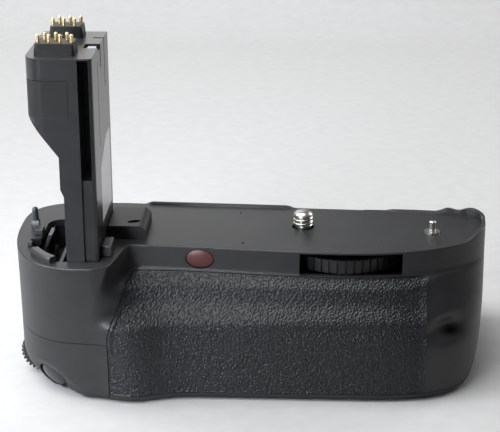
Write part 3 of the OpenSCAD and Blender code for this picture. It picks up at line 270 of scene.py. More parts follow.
def skin(name, rings, floor_rows=1):
    """A closed solid through rings that run along the front and back along the rear.

    The floor, inside the first ring, is divided into rows from front to rear.
    """
    m = len(rings[0])
    half = m // 2
    points = [np.asarray(r) for r in rings]
    faces = []
    for j in range(len(rings) - 1):
        for k in range(m):
            a, b = j * m + k, j * m + (k + 1) % m
            faces.append((a, b, b + m, a + m))
    top = (len(rings) - 1) * m
    for i in range(half - 1):
        faces.append((top + i, top + i + 1, top + m - 2 - i, top + m - 1 - i))
    first, total = points[0], len(rings) * m
    rows = [list(range(half))]
    for r in range(1, floor_rows):
        points.append(lerp(first[:half], first[half:][::-1], r / floor_rows))
        rows.append(list(range(total, total + half)))
        total += half
    rows.append(list(range(m - 1, half - 1, -1)))
    for low, high in zip(rows, rows[1:]):
        for i in range(half - 1):
            faces.append((low[i + 1], low[i], high[i], high[i + 1]))
    return mesh_object(name, np.concatenate(points), faces)


def stacked(name, rings, degrees=TURNED_ANGLE, looped=False):
    """A solid through rings of points, capped at both ends or looped back onto the first ring."""
    n, m = len(rings), len(rings[0])
    faces = []
    for j in range(n if looped else n - 1):
        low, high = j * m, (j + 1) % n * m
        faces += [(low + k, low + (k + 1) % m, high + (k + 1) % m, high + k) for k in range(m)]
    if not looped:
        faces += [tuple(range(m - 1, -1, -1)), tuple(range((n - 1) * m, n * m))]
    obj = mesh_object(name, np.concatenate(rings), faces)
    make_outward(obj)
    smooth(obj, degrees)
    return obj


def box(name, lo, hi):
    points = [(x, y, z) for z in (lo[2], hi[2]) for y in (lo[1], hi[1]) for x in (lo[0], hi[0])]
    faces = [(0, 2, 3, 1), (4, 5, 7, 6), (0, 1, 5, 4), (2, 6, 7, 3), (0, 4, 6, 2), (1, 3, 7, 5)]
    return mesh_object(name, points, faces)


def prism(name, outline, place, lo, hi):
    """A prism of an outline; place(u, v, w) puts a point of it in space."""
    n = len(outline)
    points = [place(u, v, w) for w in (lo, hi) for u, v in outline]
    faces = [tuple(range(n - 1, -1, -1)), tuple(range(n, 2 * n))]
    faces += [(i, (i + 1) % n, n + (i + 1) % n, n + i) for i in range(n)]
    obj = mesh_object(name, points, faces)
    make_outward(obj)
    return obj


def upright(u, v, w):
    """An outline seen from above."""
    return u, v, w


def across(u, v, w):
    """An outline seen from the front."""
    return u, w, v


def sideways(u, v, w):
    """An outline seen from the right."""
    return w, u, v


def around(count):
    return np.linspace(0, FULL_TURN, count, endpoint=False)


def oval(rx, ry, at=(0.0, 0.0), count=64):
    return [(at[0] + rx * math.cos(t), at[1] + ry * math.sin(t)) for t in around(count)]


def arc(cx, cy, r, start, end, count=12):
    angles = np.radians(np.linspace(start, end, count))
    return [(cx + r * math.cos(t), cy + r * math.sin(t)) for t in angles]


def circle(r, z, turn):
    """A level ring about the z axis; r is one radius or one for each angle."""
    return np.stack([r * np.cos(turn), r * np.sin(turn), np.full_like(turn, z)], 1)


# Columns and rows of the shells' meshes
N_LEFT, N_CAP, N_MID, N_RIGHT = 30, 24, 70, 34
STEP_PITCH, STEP_END = 0.4, -50.0
BAND, N_LOW, N_BAND, N_HIGH = 0.8, 66, 9, 14
N_HOLLOW, N_CAP_ROWS, N_CAP_HOLLOW = 12, 46, 14
CAP_FLOOR, CAP_HOLLOW_FLOOR, COVER_FLOOR = 60, 20, 6
TOP_TURNS = np.linspace(0.0, QUARTER, 6)
EDGE_LEVELS = EDGE_R * (1 - np.cos(np.linspace(0, QUARTER, 8, endpoint=False)))


def columns(z, d, x_from=None, x_to=None):
    """X of a ring's columns at height z, dense at the ends and at the step beside the swell."""
    left_turn = np.linspace(0.0, QUARTER, N_LEFT, endpoint=False)
    left = SWELL_X - (SWELL_X - left_end(z) - d) * np.cos(left_turn)
    if x_to is not None:
        return np.concatenate([left, np.linspace(SWELL_X, x_to, N_CAP)])
    start = SWELL_X if x_from is None else x_from
    step = np.linspace(start, STEP_END, int((STEP_END - start) / STEP_PITCH), endpoint=False)
    mid = np.linspace(STEP_END, RUBBER_RIGHT, N_MID, endpoint=False)
    right_turn = np.linspace(0.0, QUARTER, N_RIGHT)
    right = RUBBER_RIGHT + (right_end(z) - d - RUBBER_RIGHT) * np.sin(right_turn)
    return np.concatenate(([left] if x_from is None else []) + [step, mid, right])


def ring(z, d=0.0, recess=False, inner=False, **span):
    """A level ring of a shell, drawn in by d."""
    x = columns(z, d, **span)
    front = front_y(x, z, d)
    rear = rear_y(x, z, d)
    if recess:
        front = front + rubber_recess(x, z)
    if inner:
        front = front + RUBBER_T
        rear = np.maximum(rear, front + END_FLAT)
    level = np.full_like(x, z)
    rear_side = np.stack([x, rear, level], 1)[::-1]
    return np.concatenate([np.stack([x, front, level], 1), rear_side])


def edge_inset(z):
    """How far the rounded bottom edge is drawn in at height z."""
    if z >= EDGE_R:
        return 0.0
    return EDGE_R * (1.0 - math.sqrt(1.0 - (1.0 - z / EDGE_R) ** 2))


# Lip along the rear of the deck and the rim round its right end
TOP_R, LIP_T, LIP_R, DECK_RINGS = 0.4, 1.3, 0.4, (0.2, 0.9)
LIP_H, LIP_RAMP, LIP_FROM, LIP_TO = 0.9, 3.0, -53.5, -2.4
LIP_SPLIT, LIP_AGAIN, LIP_LOW, LIP_SHARE = 20.0, 27.0, 0.15, 0.6
RIM_H, RIM_X, RIM_RAMP, RIM_WAVE, WAVE_W = 1.7, 48.1, 5.0, 0.3, 8.0
RIM_END, RIM_END_IN = 1.0, 2.0
FRONT_RIM_W, FRONT_RIM_RAMP = 7.0, 6.0


def lip(x):
    """Height of the rear lip over the deck, with the rim at its right end."""
    first = ease((x - LIP_FROM) / LIP_RAMP) * ease((LIP_TO - x) / LIP_RAMP)
    low = lerp(LIP_LOW, LIP_H * LIP_SHARE, ease((x - LIP_AGAIN) / LIP_RAMP))
    high = RIM_H + RIM_WAVE * np.cos(FULL_TURN * (x - RIM_X) / WAVE_W)
    again = lerp(low, high, ease((x - RIM_X) / RIM_RAMP + 1.0))
    end = RIM_END * ease((x - RIM_X - RIM_END_IN) / RIM_RAMP)
    return np.where(x < LIP_SPLIT, LIP_H * first, again + end)


def front_rim(x):
    return RIM_H * ease((x - BODY_RIGHT + FRONT_RIM_W) / FRONT_RIM_RAMP)


def top_ring(d, drop, raised=True, floor=0.0):
    """A ring of the deck's edge, drawn in by d, lying drop below the rim but above the floor."""
    x0, x = columns(DECK_Z, 0.0), columns(DECK_Z, d)
    rise = np.concatenate([front_rim(x0), lip(x0)[::-1]]) if raised else np.zeros(2 * len(x))
    front = np.stack([x, front_y(x, DECK_Z, d)], 1)
    rear = np.stack([x, rear_y(x, DECK_Z, d)], 1)[::-1]
    flat = np.concatenate([front, rear])
    return np.column_stack([flat, DECK_Z + np.maximum(rise - drop, floor)])


# Fittings that the shells have openings for; cutters reach OVER past a wall
OVER = 8.0
DECK_CUT = (DECK_Z - DECK_T - 1.0, DECK_Z + OVER)
WHEEL_Z, WHEEL_GAP = DECK_Z - DECK_T - 0.8 - 4.3, 0.5
SLOT_LEFT, SLOT_RIGHT, SLOT_REAR, SLOT_ROOF = -1.0, 31.0, -10.0, 0.7
SCREW_HOLE_R = 3.575
STALK_RIGHT, STALK_FRONT, STALK_D, WAIST_LEFT, STALK_GAP = -61.8, -33.2, 36.0, -72.6, 0.3
WINDOW_X, WINDOW_Z, WINDOW_W, WINDOW_H, WINDOW_CUT = -32.2, DECK_Z - 4.1, 9.0, 6.5, 3.0
DOOR_GAP = 0.35
SWITCH_AT, SWITCH_R = (-66.0, 27.0), 1.6
DENTS, DENT_R, DENT_D, DENT_COUNT = ((-20.6, 12.1), (-18.8, -15.5)), 0.5, 0.4, 16
DIAL_AT, DIAL_R, DIAL_T, DIAL_GAP, DIAL_ROOM = (-84.0, -10.5, 7.8), 7.2, 6.0, 0.5, 1.0
KEY_XS, KEY_Z, KEY_R, KEY_GAP, KEY_CUT = (-78.2, -71.7, -65.2), 12.0, 2.8, 0.3, (33.0, 60.0)
SOCKET_R, HEAD_R, HEAD_COUNT = 6.1, 2.4, 32
HEAD_PLACES = ((-45.0, -20.0), (-45.0, 32.0), (31.1, -20.0), (31.1, 32.0))

# Pocket beside the stalk: its front is an ellipse inside the swell's edge
POCKET_EDGE, POCKET_RIGHT, POCKET_REAR, POCKET_TURN = 3.5, WAIST_LEFT - 1.3, 4.0, 5.0
POCKET_RX = BODY_LEFT + SWELL_X - POCKET_EDGE
POCKET_RY = SWELL_LOW + SWELL_FLARE - POCKET_EDGE
LEDGE_X, LEDGE_Y, LEDGE_STEP = -82.8, -14.5, 0.8


def pocket_front(t):
    return SWELL_X + POCKET_RX * math.cos(t), -POCKET_RY * math.sin(t)


def pocket_outline():
    """The pocket follows the swell's edge at its front and steps in beside the post at its left."""
    start = math.acos((POCKET_RIGHT - SWELL_X) / POCKET_RX)
    end = math.pi - math.asin(-LEDGE_Y / POCKET_RY)
    front = [pocket_front(t) for t in np.linspace(start, end, 50)]
    corner = arc(LEDGE_X + POCKET_TURN, POCKET_REAR - POCKET_TURN, POCKET_TURN, 180, 90)
    return front + [(LEDGE_X, LEDGE_Y + LEDGE_STEP)] + corner + [(POCKET_RIGHT, POCKET_REAR)]


def main_housing():
    band_low, band_high = RUBBER_TOP - BAND, RUBBER_TOP + BAND
    levels = np.concatenate([
        np.linspace(BASE_T + SEAM, band_low, N_LOW, endpoint=False),
        np.linspace(band_low, band_high, N_BAND, endpoint=False),
        np.linspace(band_high, DECK_Z - TOP_R, N_HIGH, endpoint=False)])
    rings = [ring(z, recess=True) for z in levels]
    for t in TOP_TURNS:
        rings.append(top_ring(TOP_R * (1 - math.cos(t)), TOP_R * (1 - math.sin(t)), floor=-TOP_R))
    for t in TOP_TURNS[::2]:
        rings.append(top_ring(LIP_T - LIP_R * (1 - math.sin(t)), LIP_R * (1 - math.cos(t))))
    rings += [top_ring(LIP_T + d, 0.0, raised=False) for d in DECK_RINGS]
    body = skin("housing", rings)

    hollow = np.linspace(BASE_T, DECK_Z - DECK_T, N_HOLLOW)
    window_y = float(front_y(np.array(WINDOW_X), WINDOW_Z))
    door_lo, door_hi = np.array(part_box("magazine_door")) / MM
    stalk_rear = STALK_FRONT + STALK_D
    cutters = [
        skin("cavity", [ring(z, WALL, inner=True) for z in hollow]),
        box("cap_space", (-FAR, -FAR, -FAR), (CAP_LAST + CAP_GAP, FAR, CAP_Z + SEAM)),
        box("wheel_slot", (SLOT_LEFT, -FAR, WHEEL_Z - WHEEL_GAP),
            (SLOT_RIGHT, SLOT_REAR, DECK_Z - SLOT_ROOF)),
        prism("screw_hole", oval(SCREW_HOLE_R, SCREW_HOLE_R), upright, *DECK_CUT),
        box("stalk_hole", (WAIST_LEFT - STALK_GAP, STALK_FRONT - STALK_GAP, DECK_CUT[0]),
            (STALK_RIGHT + STALK_GAP, stalk_rear + STALK_GAP, DECK_CUT[1])),
        prism("pocket_hole", pocket_outline(), upright, *DECK_CUT),
        prism("window_hole", oval(WINDOW_W / 2, WINDOW_H / 2, (WINDOW_X, WINDOW_Z)), across,
              window_y - WINDOW_CUT, window_y + WINDOW_CUT),
        box("door_hole", (door_lo[0] - DOOR_GAP, door_lo[1], door_lo[2] - DOOR_GAP),
            (door_hi[0] + DOOR_GAP, FAR, door_hi[2] + DOOR_GAP)),
        prism("switch_hole", oval(SWITCH_R, SWITCH_R, SWITCH_AT), across,
              BODY_REAR - OVER, BODY_REAR + OVER)]
    for place in DENTS:
        dent = oval(DENT_R, DENT_R, place, DENT_COUNT)
        cutters.append(prism("dent", dent, upright, DECK_Z - DENT_D, DECK_Z + OVER))
    cut(body, cutters)
    smooth(body, SHELL_ANGLE)
    return body


# Facet of the control cap: a plane through FACET_AT with its outward normal, blended into the cap
FACET_AT = np.array([-79.0, -25.0, 4.65])
FACET_TILT, FACET_TURN = math.radians(119.7), math.radians(232.0)
FACET_N = np.array([math.sin(FACET_TILT) * math.cos(FACET_TURN),
                    math.sin(FACET_TILT) * math.sin(FACET_TURN), math.cos(FACET_TILT)])
FACET_SIDE = np.cross(FACET_N, (0, 0, 1)) / np.linalg.norm(np.cross(FACET_N, (0, 0, 1)))
FACET_UP = np.cross(FACET_N, FACET_SIDE)
FACET_T, FACET_OUT, FACET_BLEND, INNER_BLEND = 2.4, 0.5, 0.22, 0.05
DISH_D, DISH_R = 1.2, 9.5
SHUTTER_R, SHUTTER_GAP, SHUTTER_CUT = 4.9, 0.35, (-5.0, 6.0)


def on_facet(u, v, w):
    return FACET_AT + u * FACET_SIDE + v * FACET_UP + w * FACET_N


def facet(obj, depth, blend, dish):
    """Draws points of obj that stand outside the facet onto it, with a soft edge and a dish."""
    points = np.array([v.co for v in obj.data.vertices]) / MM
    rel = points - FACET_AT
    out = rel @ FACET_N
    away = np.linalg.norm(rel - out[:, None] * FACET_N, axis=1)
    level = -depth - dish * (1.0 - ease(away / DISH_R))
    gap = out - level
    pulled = (gap + np.sqrt(gap * gap + blend * blend)) / 2.0
    moved = points - np.where(gap > -4 * blend, pulled, 0.0)[:, None] * FACET_N
    obj.data.vertices.foreach_set("co", (moved * MM).ravel())


def control_cap():
    levels = np.concatenate([EDGE_LEVELS, np.linspace(EDGE_R, CAP_Z, N_CAP_ROWS)])
    cap = skin("cap", [ring(z, edge_inset(z), x_to=CAP_LAST) for z in levels], CAP_FLOOR)
    facet(cap, -FACET_OUT, FACET_BLEND, DISH_D)
    hollow = [ring(z, WALL, x_to=CAP_LAST - WALL)
              for z in np.linspace(BASE_T, CAP_Z + 1.0, N_CAP_HOLLOW)]
    inner = skin("cap_cavity", hollow, CAP_HOLLOW_FLOOR)
    facet(inner, FACET_T, INNER_BLEND, 0.0)

    hole_r, dial_r, key_r = SHUTTER_R + SHUTTER_GAP, DIAL_R + DIAL_GAP, KEY_R + KEY_GAP
    dial_x, dial_y, dial_z = DIAL_AT
    dial_front, dial_rear = dial_y - DIAL_T / 2 - DIAL_GAP, dial_y + DIAL_T / 2 + DIAL_GAP
    room = DIAL_R + DIAL_ROOM
    cutters = [
        inner,
        prism("shutter_hole", oval(hole_r, hole_r), on_facet, *SHUTTER_CUT),
        box("dial_slot", (-FAR, dial_front, dial_z - room), (dial_x, dial_rear, dial_z + room)),
        prism("dial_round", oval(dial_r, dial_r, (dial_x, dial_z)), across, dial_front, dial_rear)]
    for x in KEY_XS:
        cutters.append(prism("key_hole", oval(key_r, key_r, (x, KEY_Z)), across, *KEY_CUT))
    cut(cap, cutters)
    smooth(cap, SHELL_ANGLE)
    return cap


def bottom_cover():
    rings = [ring(z, edge_inset(z), x_from=CAP_LAST + COVER_GAP)
             for z in [*EDGE_LEVELS, EDGE_R, BASE_T]]
    cover = skin("cover", rings, COVER_FLOOR)
    cutters = [prism("socket_hole", oval(SOCKET_R, SOCKET_R), upright, -OVER, OVER)]
    for place in HEAD_PLACES:
        head = oval(HEAD_R, HEAD_R, place, HEAD_COUNT)
        cutters.append(prism("head_hole", head, upright, -OVER, OVER))
    cut(cover, cutters)
    smooth(cover, SHELL_ANGLE)
    return cover


# Leather grain: a coarse and a fine pattern of cells with furrows between them
GRAIN_CELL, GRAIN_H, GRAIN_PITCH, GRAIN_X, GRAIN_SEED = 0.8, 0.34, 0.2, -10.0, 11
COARSE_SHARE, COARSE_FURROW, FINE_SHARE, FINE_FURROW, FINE_CELL = 0.75, 0.45, 0.25, 0.5, 0.55
GRAIN_EDGE, PROFILE_STEPS, EDGE_CROWD, PROBE = 0.6, 2000, 0.06, 0.05

# Edges of the rubber: gaps, rolled border, a bead at the left and a raised right edge
RUBBER_GAP, RIGHT_GAP, ROLL_R, BACK_SHARE = 0.12, 0.14, 0.25, 0.8
FOLD_H, FOLD_IN, FOLD_W, FOLD_Z, FOLD_RUN = 0.5, 0.8, 0.6, 25.0, 6.0
PROUD_H, PROUD_W = 0.4, 2.5


def worley(points, cell, seed):
    """Distance to the nearest and to the second nearest of jittered points in space, in cells."""
    at = points / cell
    at = at - at.min(axis=(0, 1)) + 2.0
    cells = [int(v) + 4 for v in at.max(axis=(0, 1))]
    jitter = np.random.default_rng(seed).random(cells + [3])
    near = np.full(at.shape[:2], 9.0)
    second = near.copy()
    for step in np.ndindex(3, 3, 3):
        home = at.astype(int) + np.array(step) - 1
        seeds = home + jitter[home[..., 0], home[..., 1], home[..., 2]]
        dist = np.linalg.norm(seeds - at, axis=-1)
        second = np.where(dist < near, near, np.minimum(second, dist))
        near = np.minimum(near, dist)
    return near, second


def leather(surface):
    """Height of the grain, which is never above the surface."""
    near, second = worley(surface, GRAIN_CELL, GRAIN_SEED)
    fine, fine_second = worley(surface, GRAIN_CELL * FINE_CELL, GRAIN_SEED + 1)
    coarse_part = COARSE_SHARE * ease((second - near) / COARSE_FURROW)
    fine_part = FINE_SHARE * ease((fine_second - fine) / FINE_FURROW)
    return GRAIN_H * (coarse_part + fine_part - 1.0)


def rubber_rows():
    """Heights of the rubber's rows, even along its profile so that the grain is alike all over."""
    profile = np.linspace(RUBBER_BOTTOM, RUBBER_TOP - RUBBER_GAP, PROFILE_STEPS)
    depth = front_y(np.full(PROFILE_STEPS, GRAIN_X), profile)
    along = np.cumsum(np.hypot(np.gradient(profile), np.gradient(depth)))
    even = np.linspace(along[0], along[-1], int(along[-1] / GRAIN_PITCH))
    return np.interp(even, along, profile)


def front_normal(x, z):
    slope_x = (front_y(x + PROBE, z) - front_y(x - PROBE, z)) / (2 * PROBE)
    slope_z = (front_y(x, z + PROBE) - front_y(x, z - PROBE)) / (2 * PROBE)
    normal = np.stack([slope_x, -np.ones_like(x), slope_z], -1)
    return normal / np.linalg.norm(normal, axis=-1, keepdims=True)


def slab_faces(rows, count):
    """Faces of a slab whose front points, row by row, come before its back points."""
    off, faces = rows * count, []
    for j in range(rows - 1):
        for i in range(count - 1):
            a = j * count + i
            faces.append((a, a + 1, a + count + 1, a + count))
            faces.append((off + a, off + a + count, off + a + count + 1, off + a + 1))
    border = list(range(count)) + [j * count + count - 1 for j in range(1, rows)]
    border += [(rows - 1) * count + i for i in range(count - 2, -1, -1)]
    border += [j * count for j in range(rows - 2, 0, -1)]
    for a, b in zip(border, border[1:] + border[:1]):
        faces.append((b, a, off + a, off + b))
    return faces


def grip_rubber():
    heights = rubber_rows()
    left, right = (side[:, None] for side in rubber_sides(heights))
    count = int((RUBBER_RIGHT - RUBBER_LEFT) / GRAIN_PITCH)
    t = np.linspace(0.0, 1.0, count)
    t = lerp(t, 0.5 - 0.5 * np.cos(np.pi * t), EDGE_CROWD)
    x = lerp(left + RUBBER_GAP, right - RIGHT_GAP, t[None, :])
    z = np.repeat(heights[:, None], count, 1)
    surface = np.stack([x, front_y(x, z), z], -1)
    normal = front_normal(x, z)

    sides = np.minimum(x - left, right - x)
    inside = np.minimum(sides, np.minimum(RUBBER_TOP - z, z - BASE_T))
    border = 1.0 - np.clip(inside / ROLL_R, 0.0, 1.0)
    roll = ROLL_R * (1.0 - np.sqrt(np.maximum(1.0 - border ** 2, 0.0)))
    fold = FOLD_H * bell((x - left - FOLD_IN) / FOLD_W) * bell((z - FOLD_Z) / FOLD_RUN)
    proud = PROUD_H * ease((x - right) / PROUD_W + 1.0)
    height = leather(surface) * ease(inside / GRAIN_EDGE) - roll + fold + proud
    front = surface + normal * height[..., None]
    back = surface - normal * (BACK_SHARE * RUBBER_T)
    points = np.concatenate([front.reshape(-1, 3), back.reshape(-1, 3)])
    pad = mesh_object("rubber", points, slab_faces(len(heights), count))
    smooth(pad, RUBBER_ANGLE)
    return pad


# Attachment screw: shank, collar and neck below the deck, thread above it
SCREW_AROUND, SCREW_ROWS = 72, 110
SHANK_R, SHANK_H, COLLAR_R, COLLAR_T, NECK_R = 2.2, 3.0, 4.4, 0.3, 2.7
SCREW_R, SCREW_TOP, SCREW_LOW = 3.175, DECK_Z + 5.3, DECK_Z - 0.6
THREAD_PITCH, THREAD_D, CREST_W, THREAD_END, THREAD_FADE = 1.27, 0.5, 1.35, 0.9, 0.8
BARE_H, BARE_FADE, BARE_D = 0.5, 0.5, 1.1
TIP_H, TIP_ROUND = 1.5, 0.62


def attachment_screw():
    """The threaded end of the camera screw, with a domed tip, on its neck, collar and shank."""
    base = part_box("attachment_screw")[0][2] / MM
    turn = around(SCREW_AROUND)
    shoulder = base + SHANK_H
    step = shoulder + COLLAR_T
    plain = ((SHANK_R, base), (SHANK_R, shoulder), (COLLAR_R, shoulder), (COLLAR_R, step),
             (NECK_R, step))
    rings = [circle(r, z, turn) for r, z in plain]
    for z in np.linspace(SCREW_LOW, SCREW_TOP, SCREW_ROWS):
        phase = (z / THREAD_PITCH - turn / FULL_TURN) % 1.0
        crest = 1.0 - np.abs(2.0 * phase - 1.0)
        fade = ease((SCREW_TOP - THREAD_END - z) / THREAD_FADE)
        furrow = (1.0 - ease(crest * CREST_W)) * fade
        bare = 1.0 - ease((z - DECK_Z - BARE_H) / BARE_FADE)
        r = SCREW_R - THREAD_D * np.maximum(furrow, BARE_D * bare)
        tip = np.clip((z - SCREW_TOP + TIP_H) / TIP_H, 0.0, 1.0)
        rings.append(circle(r * np.sqrt(1.0 - TIP_ROUND * tip * tip), z, turn))
    return stacked("screw", rings)


# Lens of the window: its dome stands before the strip and its edge lies behind it
LENS_GAP, LENS_SINK, LENS_DOME, LENS_N, LENS_T, LENS_AROUND = 0.3, 0.35, 0.5, 2.5, 1.3, 64
LENS_STEPS = np.linspace(0.02, 1.0, 10)


def ir_window():
    """A domed oval lens that follows the slant of the front strip."""
    turn = around(LENS_AROUND)
    rings = []
    for s in LENS_STEPS:
        x = WINDOW_X + s * (WINDOW_W / 2 - LENS_GAP) * np.cos(turn)
        y = front_y(x, WINDOW_Z) + LENS_SINK - LENS_DOME * (1.0 - s ** LENS_N)
        z = WINDOW_Z + s * (WINDOW_H / 2 - LENS_GAP) * np.sin(turn)
        rings.append(np.stack([x, y, z], 1))
    rings.append(rings[-1] + (0.0, LENS_T, 0.0))
    return stacked("window", rings)


# Stalk: its outline, the waist below its head, the channel, and the seats of panel and plate
STALK_TOP, STALK_LEFT, STALK_R, EDGE_ROUND, FOOT_W = 110.0, -81.8, 5.0, 1.2, 9.8
HEAD_H, SLANT_H, WAIST_H, FOOT_RUN, TENON_IN = 17.7, 12.3, 10.0, 2.5, 4.0
CHANNEL_LEFT, CHANNEL_RIGHT, CHANNEL_D = -66.1, -62.9, 12.0
CHANNEL_END, CHANNEL_ROOF = STALK_TOP - 37.5, 0.6
GROOVE_D, GROOVE_RISE = 0.9, 0.5
PANEL_W, PANEL_WRAP, PANEL_DROP, PANEL_T, PANEL_GAP = 12.6, 9.0, 6.7, 0.8, 0.1
PLATE = ((-21.0, 55.5), (0.0, 55.5), (0.0, 80.0), (-8.0, 80.0), (-21.0, 73.0))
PLATE_SEAT, PLATE_GROW = 0.7, 1.01
RECESS_FRONT, RECESS_REAR, RECESS_LEFT = -19.6, -14.0, -66.2
RECESS_PLATE = ((RECESS_LEFT + 1.0, RECESS_FRONT + 0.2, STALK_TOP - 1.1),
                (STALK_RIGHT - 0.9, RECESS_REAR - 1.3, STALK_TOP - 0.4))
STALK_EDGE = 0.3

# Slots open to the stalk's right: name, left, front, rear, depth of the floor and of the roof
STALK_SLOTS = (
    ("recess", RECESS_LEFT, RECESS_FRONT, RECESS_REAR, 1.2, -1.0),
    ("notch", STALK_RIGHT - 2.2, RECESS_REAR - 1.2, RECESS_REAR, 7.0, -1.0),
    ("rear_slot", -65.0, -6.4, -5.3, 0.9, -1.0),
    ("rear_line", STALK_RIGHT - 0.7, -6.4, -5.6, 15.0, -1.0),
    ("side_line", STALK_RIGHT - 0.5, -21.2, -20.7, 30.0, 4.0))


def beside_stalk(foot, head):
    """What is taken away at the stalk's left, below its head, seen from the front."""
    waist = head - SLANT_H
    knee = waist - WAIST_H
    foot_left = STALK_RIGHT - FOOT_W
    return [(-FAR, foot), (foot_left, foot), (foot_left, knee - FOOT_RUN), (WAIST_LEFT, knee),
            (WAIST_LEFT, waist), (STALK_LEFT, head), (-FAR, head)]


def panel_seat():
    """The step round the stalk's front left edge that the panel lies in, seen from above."""
    inset = PANEL_T + PANEL_GAP
    right, rear = STALK_LEFT + PANEL_W + PANEL_GAP, STALK_FRONT + PANEL_WRAP + PANEL_GAP
    seat = [(right, -FAR), (right, STALK_FRONT + inset)]
    seat += arc(STALK_LEFT + STALK_R, STALK_FRONT + STALK_R, STALK_R - inset, 270, 180)
    return seat + [(STALK_LEFT + inset, rear), (-FAR, rear), (-FAR, -FAR)]


def plate_seat():
    """The outline of the side plate, slightly enlarged about its middle."""
    mid_y, mid_z = np.mean(PLATE, axis=0)
    return [(lerp(mid_y, y, PLATE_GROW), lerp(mid_z, z, PLATE_GROW)) for y, z in PLATE]


def stalk_core():
    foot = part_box("stalk_core")[0][2] / MM
    rear, head = STALK_FRONT + STALK_D, STALK_TOP - HEAD_H
    plan = arc(STALK_LEFT + STALK_R, STALK_FRONT + STALK_R, STALK_R, 180, 270)
    plan += arc(STALK_RIGHT - EDGE_ROUND, STALK_FRONT + EDGE_ROUND, EDGE_ROUND, 270, 360, 6)
    plan += [(STALK_RIGHT, rear), (STALK_LEFT, rear)]
    stalk = prism("stalk", plan, upright, foot, STALK_TOP)
    right, below = STALK_RIGHT + 1.0, foot - 1.0
    cutters = [
        prism("beside", beside_stalk(below, head), across, -FAR, FAR),
        box("channel", (CHANNEL_LEFT, -FAR, CHANNEL_END),
            (CHANNEL_RIGHT, STALK_FRONT + CHANNEL_D, STALK_TOP - CHANNEL_ROOF)),
        box("groove", (CHANNEL_LEFT, -FAR, below),
            (CHANNEL_RIGHT, STALK_FRONT + GROOVE_D, CHANNEL_END + GROOVE_RISE))]
    for name, left, slot_front, slot_rear, floor, roof in STALK_SLOTS:
        cutters.append(box(name, (left, slot_front, STALK_TOP - floor),
                           (right, slot_rear, STALK_TOP - roof)))
    cutters += [
        box("tenon", (-FAR, -FAR, below), (right, STALK_FRONT + TENON_IN, DECK_Z - DECK_T)),
        prism("panel_seat", panel_seat(), upright,
              head - PANEL_GAP, STALK_TOP - PANEL_DROP + PANEL_GAP),
        prism("plate_seat", plate_seat(), sideways, STALK_RIGHT - PLATE_SEAT, right)]
    cut(stalk, cutters)
    soften(stalk, STALK_EDGE)
    return stalk


def recess_plate():
    """The bare pale plate that lies in the recess on top of the stalk."""
    return box("recess_plate", *RECESS_PLATE)


# Blocks on the deck beside the stalk, and the slanted catch slot in the larger one
FILLER_W, FILLER_D, FILLER_H, FILLER_R, FILLER_FRONT = 12.0, 18.0, 4.4, 2.5, -13.5
CATCH_AT, CATCH_RX, CATCH_RY, CATCH_D, CATCH_COUNT = (7.8, 4.4), 2.2, 1.15, 1.5, 32
CATCH_TURN = math.radians(25.0)
CORNER_BLOCK = ((STALK_RIGHT + STALK_GAP, -29.1, DECK_Z), (-58.4, -20.8, DECK_Z + 3.6))
FILLER_EDGE, CORNER_EDGE = 0.4, 0.45

# Bar, post and small blocks on the pocket's rim
BAR_LEFT, BAR_RIGHT, BAR_STEPS = -81.6, -75.0, 16
BAR_IN, BAR_OUT, BAR_H, BAR_R = -0.3, 2.6, 1.9, 0.6
POST_AT, POST_AROUND = (-86.2, -3.6), 32
POST_FOOT, POST_FOOT_H, POST_R, POST_LOW = 1.25, 2.4, 1.12, 2.6
POST_TIP_R, POST_TIP_Z, POST_TIP_H, POST_TIP_TURNS = 0.92, 6.2, 0.8, np.linspace(0.0, 1.5, 7)
RIM_BLOCKS = (((-85.5, -11.2, DECK_Z), (-82.6, -7.2, DECK_Z + 1.9)),
              ((-85.8, -21.2, DECK_Z), (-84.2, -19.4, DECK_Z + 1.5)))
RIM_BLOCK_EDGE = 0.3


def filler_block():
    """The raised block beside the stalk."""
    left, top = STALK_RIGHT + STALK_GAP, DECK_Z + FILLER_H
    right = left + FILLER_W
    side = [(left, DECK_Z), (right, DECK_Z)]
    side += arc(right - FILLER_R, top - FILLER_R, FILLER_R, 0, 90, 8) + [(left, top)]
    block = prism("filler", side, across, FILLER_FRONT, FILLER_FRONT + FILLER_D)
    c, s = math.cos(CATCH_TURN), math.sin(CATCH_TURN)
    x, y = left + CATCH_AT[0], FILLER_FRONT + CATCH_AT[1]
    lens = [(x + u * c - v * s, y + u * s + v * c)
            for u, v in oval(CATCH_RX, CATCH_RY, count=CATCH_COUNT)]
    cut(block, [prism("catch", lens, upright, top - CATCH_D, top + 1.0)])
    soften(block, FILLER_EDGE)
    return block


def corner_block():
    """The small block between the stalk's right face and the edge of the deck."""
    block = box("corner", *CORNER_BLOCK)
    soften(block, CORNER_EDGE)
    return block


def latch_bar():
    """A low rounded bar along the front edge of the pocket."""
    start, end = (math.acos((x - SWELL_X) / POCKET_RX) for x in (BAR_LEFT, BAR_RIGHT))
    profile = [(BAR_IN, 0.0)] + arc(BAR_IN + BAR_R, BAR_H - BAR_R, BAR_R, 180, 90, 5)
    profile += arc(BAR_OUT - BAR_R, BAR_H - BAR_R, BAR_R, 90, 0, 5) + [(BAR_OUT, 0.0)]
    rings = []
    for t in np.linspace(start, end, BAR_STEPS):
        out = np.array([POCKET_RY * math.cos(t), -POCKET_RX * math.sin(t)])
        out /= np.linalg.norm(out)
        rings.append([(*(pocket_front(t) + u * out), DECK_Z + v) for u, v in profile])
    return stacked("bar", rings, BAR_ANGLE)


